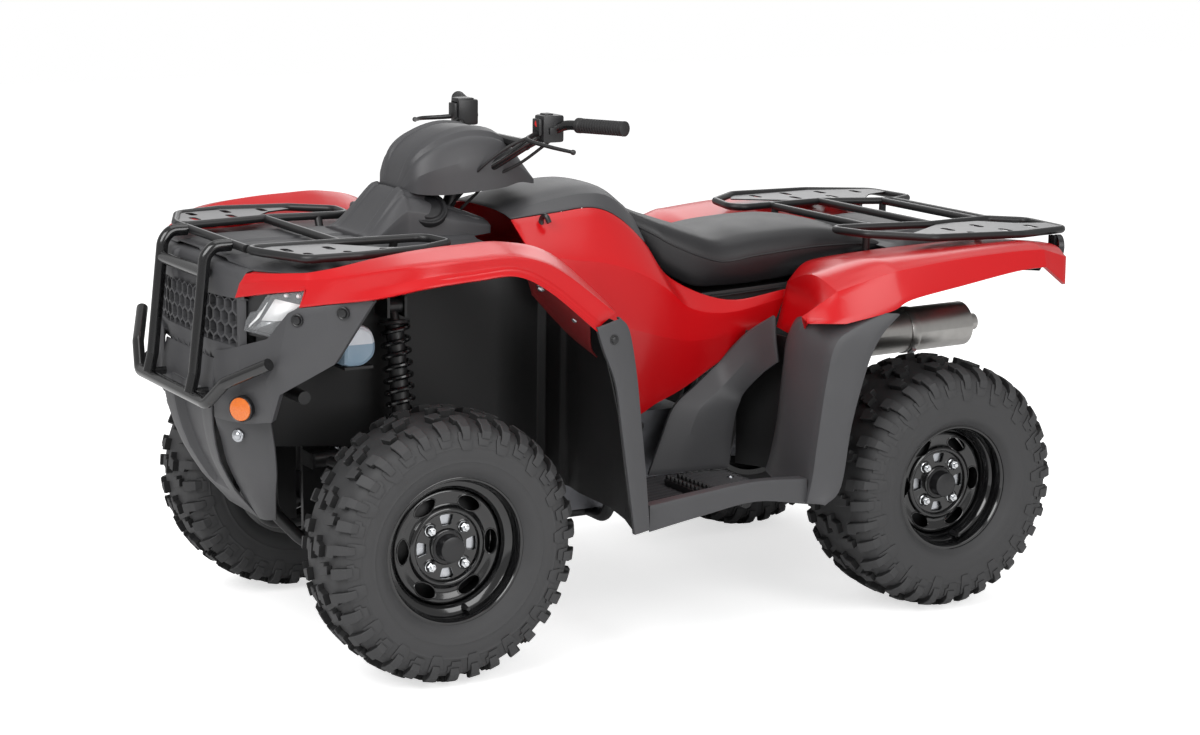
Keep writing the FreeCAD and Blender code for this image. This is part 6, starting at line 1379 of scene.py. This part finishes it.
def coolant_bottle():
    """Blow-moulded bottle: blue-grey to its fill line, milky above, with a ribbed cap on its neck."""
    bm = bmesh.new()
    outline = through([Vector((0, y, z)) for y, z in BOTTLE_OUTLINE], 5)
    rings = []
    for x, inset in BOTTLE_SECTIONS:
        drawn_in = [p.lerp(BOTTLE_MIDDLE, inset / 0.045) for p in outline]
        rings.append(ring(bm, [at(x, p.y, p.z) for p in drawn_in]))
        if len(rings) > 1:
            for face in bridge(bm, *rings[-2:]):
                face.material_index = int(face.calc_center_median().z < FILL_LINE)
    for end in (rings[0], rings[-1]):
        face = bm.faces.new(end)
        cut = bmesh.ops.bisect_plane(bm, geom=[face] + list(face.edges) + list(face.verts),
                                     plane_co=(0, 0, FILL_LINE), plane_no=(0, 0, 1))
        for element in cut["geom"]:
            if isinstance(element, bmesh.types.BMFace):
                element.material_index = int(element.calc_center_median().z < FILL_LINE)
    revolved(bm, [(0, 0.012), (0.004, 0.012), (0.004, 0.017), (0.015, 0.0168), (0.0165, 0.015), (0.017, 0)],
             facing(at(0.250, -0.752, 0.738), Z), 40, 2)
    piece("coolant_bottle", bm, [bottle_polyethylene, bottle_coolant, black_abs], "chassis",
          ["coolant_bottle"], "bottle_plastic")


# Ribs of a grip: how many, and each one's section as (share of its pitch, radius)
GRIP_RIBS = 15
RIB_SECTION = ((0.0, 0.0145), (0.25, 0.0162), (0.65, 0.0162), (0.9, 0.0145))


def grips():
    """Ribbed rubber sleeves with a flange at the inner end and a rounded outer end."""
    bm = bmesh.new()
    for side in (LEFT, RIGHT):
        outer, inner = at(side * 0.392, -0.184, 1.141), at(side * 0.235, -0.240, 1.138)
        along = (inner - outer).normalized()
        start = outer - along * 0.006
        length = ((outer + along * (inner - outer).length * 0.78) - start).length
        step = (length - 0.024) / GRIP_RIBS
        line = [(0, 0.0), (0, 0.014), (0.002, 0.0165), (0.007, 0.0166), (0.008, 0.0145)]
        for i in range(GRIP_RIBS):
            line += [(0.010 + step * (i + share), radius) for share, radius in RIB_SECTION]
        line += [(length - 0.012, 0.015), (length - 0.010, 0.0168), (length - 0.002, 0.0168), (length, 0.015),
                 (length, 0.0115)]
        revolved(bm, line, facing(start, along), 40)
    piece("grips", bm, [grip_rubber], "steering", ["grips"], "grip_rubber", angle=40)


LEVER_LINE = ((0.200, -0.275, 1.120), (0.222, -0.312, 1.116), (0.262, -0.344, 1.111), (0.325, -0.326, 1.102),
              (0.384, -0.303, 1.0955))
LEVER_BALL = ((-0.0062, 0), (-0.005, 0.0036), (-0.002, 0.0058), (0.002, 0.0058), (0.005, 0.0036), (0.0062, 0))


def hand_controls():
    """Switch housings clamped to the bar, levers with ball ends, buttons and the brake fluid reservoir."""
    bm = bmesh.new()
    for side in (LEFT, RIGHT):
        centre = at(side * 0.205, -0.262, 1.128)

        def block(low, high, material=0, edge=0.003):
            """Block between two corners given from the housing's middle."""
            soft_block(bm, centre + Vector(low), centre + Vector(high), material, edge=edge)

        block((-0.0215, -0.026, -0.030), (0.0215, 0.026, 0.030), edge=0.006)
        block((-0.016, -0.034, -0.014), (0.016, -0.024, 0.022))
        lever = through(side_points((LEVER_LINE,), side)[0], 8)
        round_bar(bm, lever, lambda share: 0.0058 - 0.0018 * share, 1)
        revolved(bm, LEVER_BALL, facing(at(side * 0.3855, -0.3025, 1.0953), X), 20, 1)
        revolved(bm, [(-0.012, 0.0), (-0.012, 0.0085), (0.012, 0.0085), (0.012, 0)],
                 facing(at(side * 0.203, -0.283, 1.119), Z), 24, 1)
        if side == LEFT:
            # Stop button, light switch and starter rocker
            button = facing(centre + Vector((0.004, -0.026, 0.012)), Vector((0.25, -1, 0.1)))
            revolved(bm, [(0, 0.0095), (0.006, 0.0095), (0.0075, 0.008), (0.0078, 0)], button, 28, 2)
            block((0.0215, -0.012, -0.012), (0.0260, 0.006, 0.004), 1, edge=0.0015)
            block((-0.012, -0.018, 0.026), (0.012, 0.004, 0.0335))
        else:
            # Reservoir's lid and the throttle housing's screw cap
            block((-0.019, -0.026, 0.014), (0.019, 0.016, 0.0335), edge=0.004)
            revolved(bm, [(0, 0.011), (0.003, 0.011), (0.0045, 0.009), (0.0045, 0)],
                     facing(centre + Vector((0.0, 0.0265, -0.008)), Y), 24, 1)
    piece("hand_controls", bm, [black_abs, satin_paint, stop_red], "steering", ["hand_controls"],
          "dark_plastic")


OUTER_CABLE = ((0.190, -0.285, 1.115), (0.165, -0.345, 1.085), (0.120, -0.395, 1.030), (0.070, -0.400, 0.985),
               (0.040, -0.420, 0.945), (0.030, -0.430, 0.915))
INNER_CABLE = ((0.196, -0.250, 1.102), (0.150, -0.300, 1.050), (0.100, -0.350, 1.010), (0.060, -0.370, 0.970),
               (0.045, -0.395, 0.940), (0.035, -0.410, 0.912))
CABLE_RADIUS = 0.0035


def cables():
    """Control cables from the housings down behind the pod."""
    bm = bmesh.new()
    for route, side in ((OUTER_CABLE, LEFT), (INNER_CABLE, LEFT), (OUTER_CABLE, RIGHT)):
        round_bar(bm, through(side_points((route,), side)[0], 8), CABLE_RADIUS, segments=10)
    piece("control_cables", bm, [grip_rubber], "steering", (), "dark_plastic")


def silencer_band():
    """Rolled steel clamp round the silencer, with its clamping screw below."""
    bm = bmesh.new()
    along = Vector((0, 0.325, 0.007))
    place = at(0.225, 0.6975, 0.6084)
    revolved(bm, [(-0.013, 0.0525), (-0.012, 0.0552), (-0.009, 0.0558), (0.009, 0.0558), (0.012, 0.0552),
                  (0.013, 0.0525)], facing(place, along), 72)
    screw = Vector((0.035, 0, -0.047))
    revolved(bm, [(-0.012, 0), (-0.012, 0.006), (0.012, 0.006), (0.012, 0)],
             facing(place + screw, Vector((0.8, 0, 0.6))), 6, 1)
    piece("silencer_band", bm, [silencer_steel, bright_zinc], "chassis", (), "silver_metal")


def carried_over():
    """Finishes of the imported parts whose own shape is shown."""
    finishes = {
        gloss_tube: ("brush_guard", "handlebar"),
        rack_paint: ("front_rack", "rear_rack"),
        satin_paint: ("frame_left", "frame_right", "frame_cross", "front_arms", "steering_column",
                      "tow_hitch", "foot_controls", "radiator"),
        cast_aluminium: ("engine", "swingarm"),
        satin_grey_cast: ("knuckle_left", "knuckle_right"),
        bright_zinc: ("rear_axle", "tie_rod_left", "tie_rod_right"),
        silencer_steel: ("muffler",),
    }
    for material, nodes in finishes.items():
        for name in nodes:
            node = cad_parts[name]
            node.data.materials.clear()
            node.data.materials.append(material)


photo_camera()
bpy.context.scene.view_settings.view_transform = "Standard"
studio()
carried_over()
for side, label in SIDES:
    tyre("front", side, "tyre_front_" + label, "front_wheel_" + label)
    rim("front", side, "wheel_front_" + label, "front_wheel_" + label)
    tyre("rear", side, "tyre_rear_" + label, "rear_wheels")
    rim("rear", side, "wheel_rear_" + label, "rear_wheels")
    front_fender(side, label)
    side_panel(side, label)
    footwell(side, label)
rear_fender()
rear_apron()
wheel_wells()
front_cover()
front_cowl()
side_shields()
front_bumper()
tank_cover()
crowned_cover("handlebar_cover", POD_STATIONS, 0.5, [grey_panel], "steering", ["handlebar_cover"])
crowned_cover("dash_cover", DASH_STATIONS, 0.6, [grey_panel, black_panel], "chassis", ["dash_cover"],
              dash_detail)
seat()
shocks()
headlamps()
silencer_band()
lamp_reflectors()
reflectors()
grille()
coolant_bottle()
grips()
hand_controls()
cables()
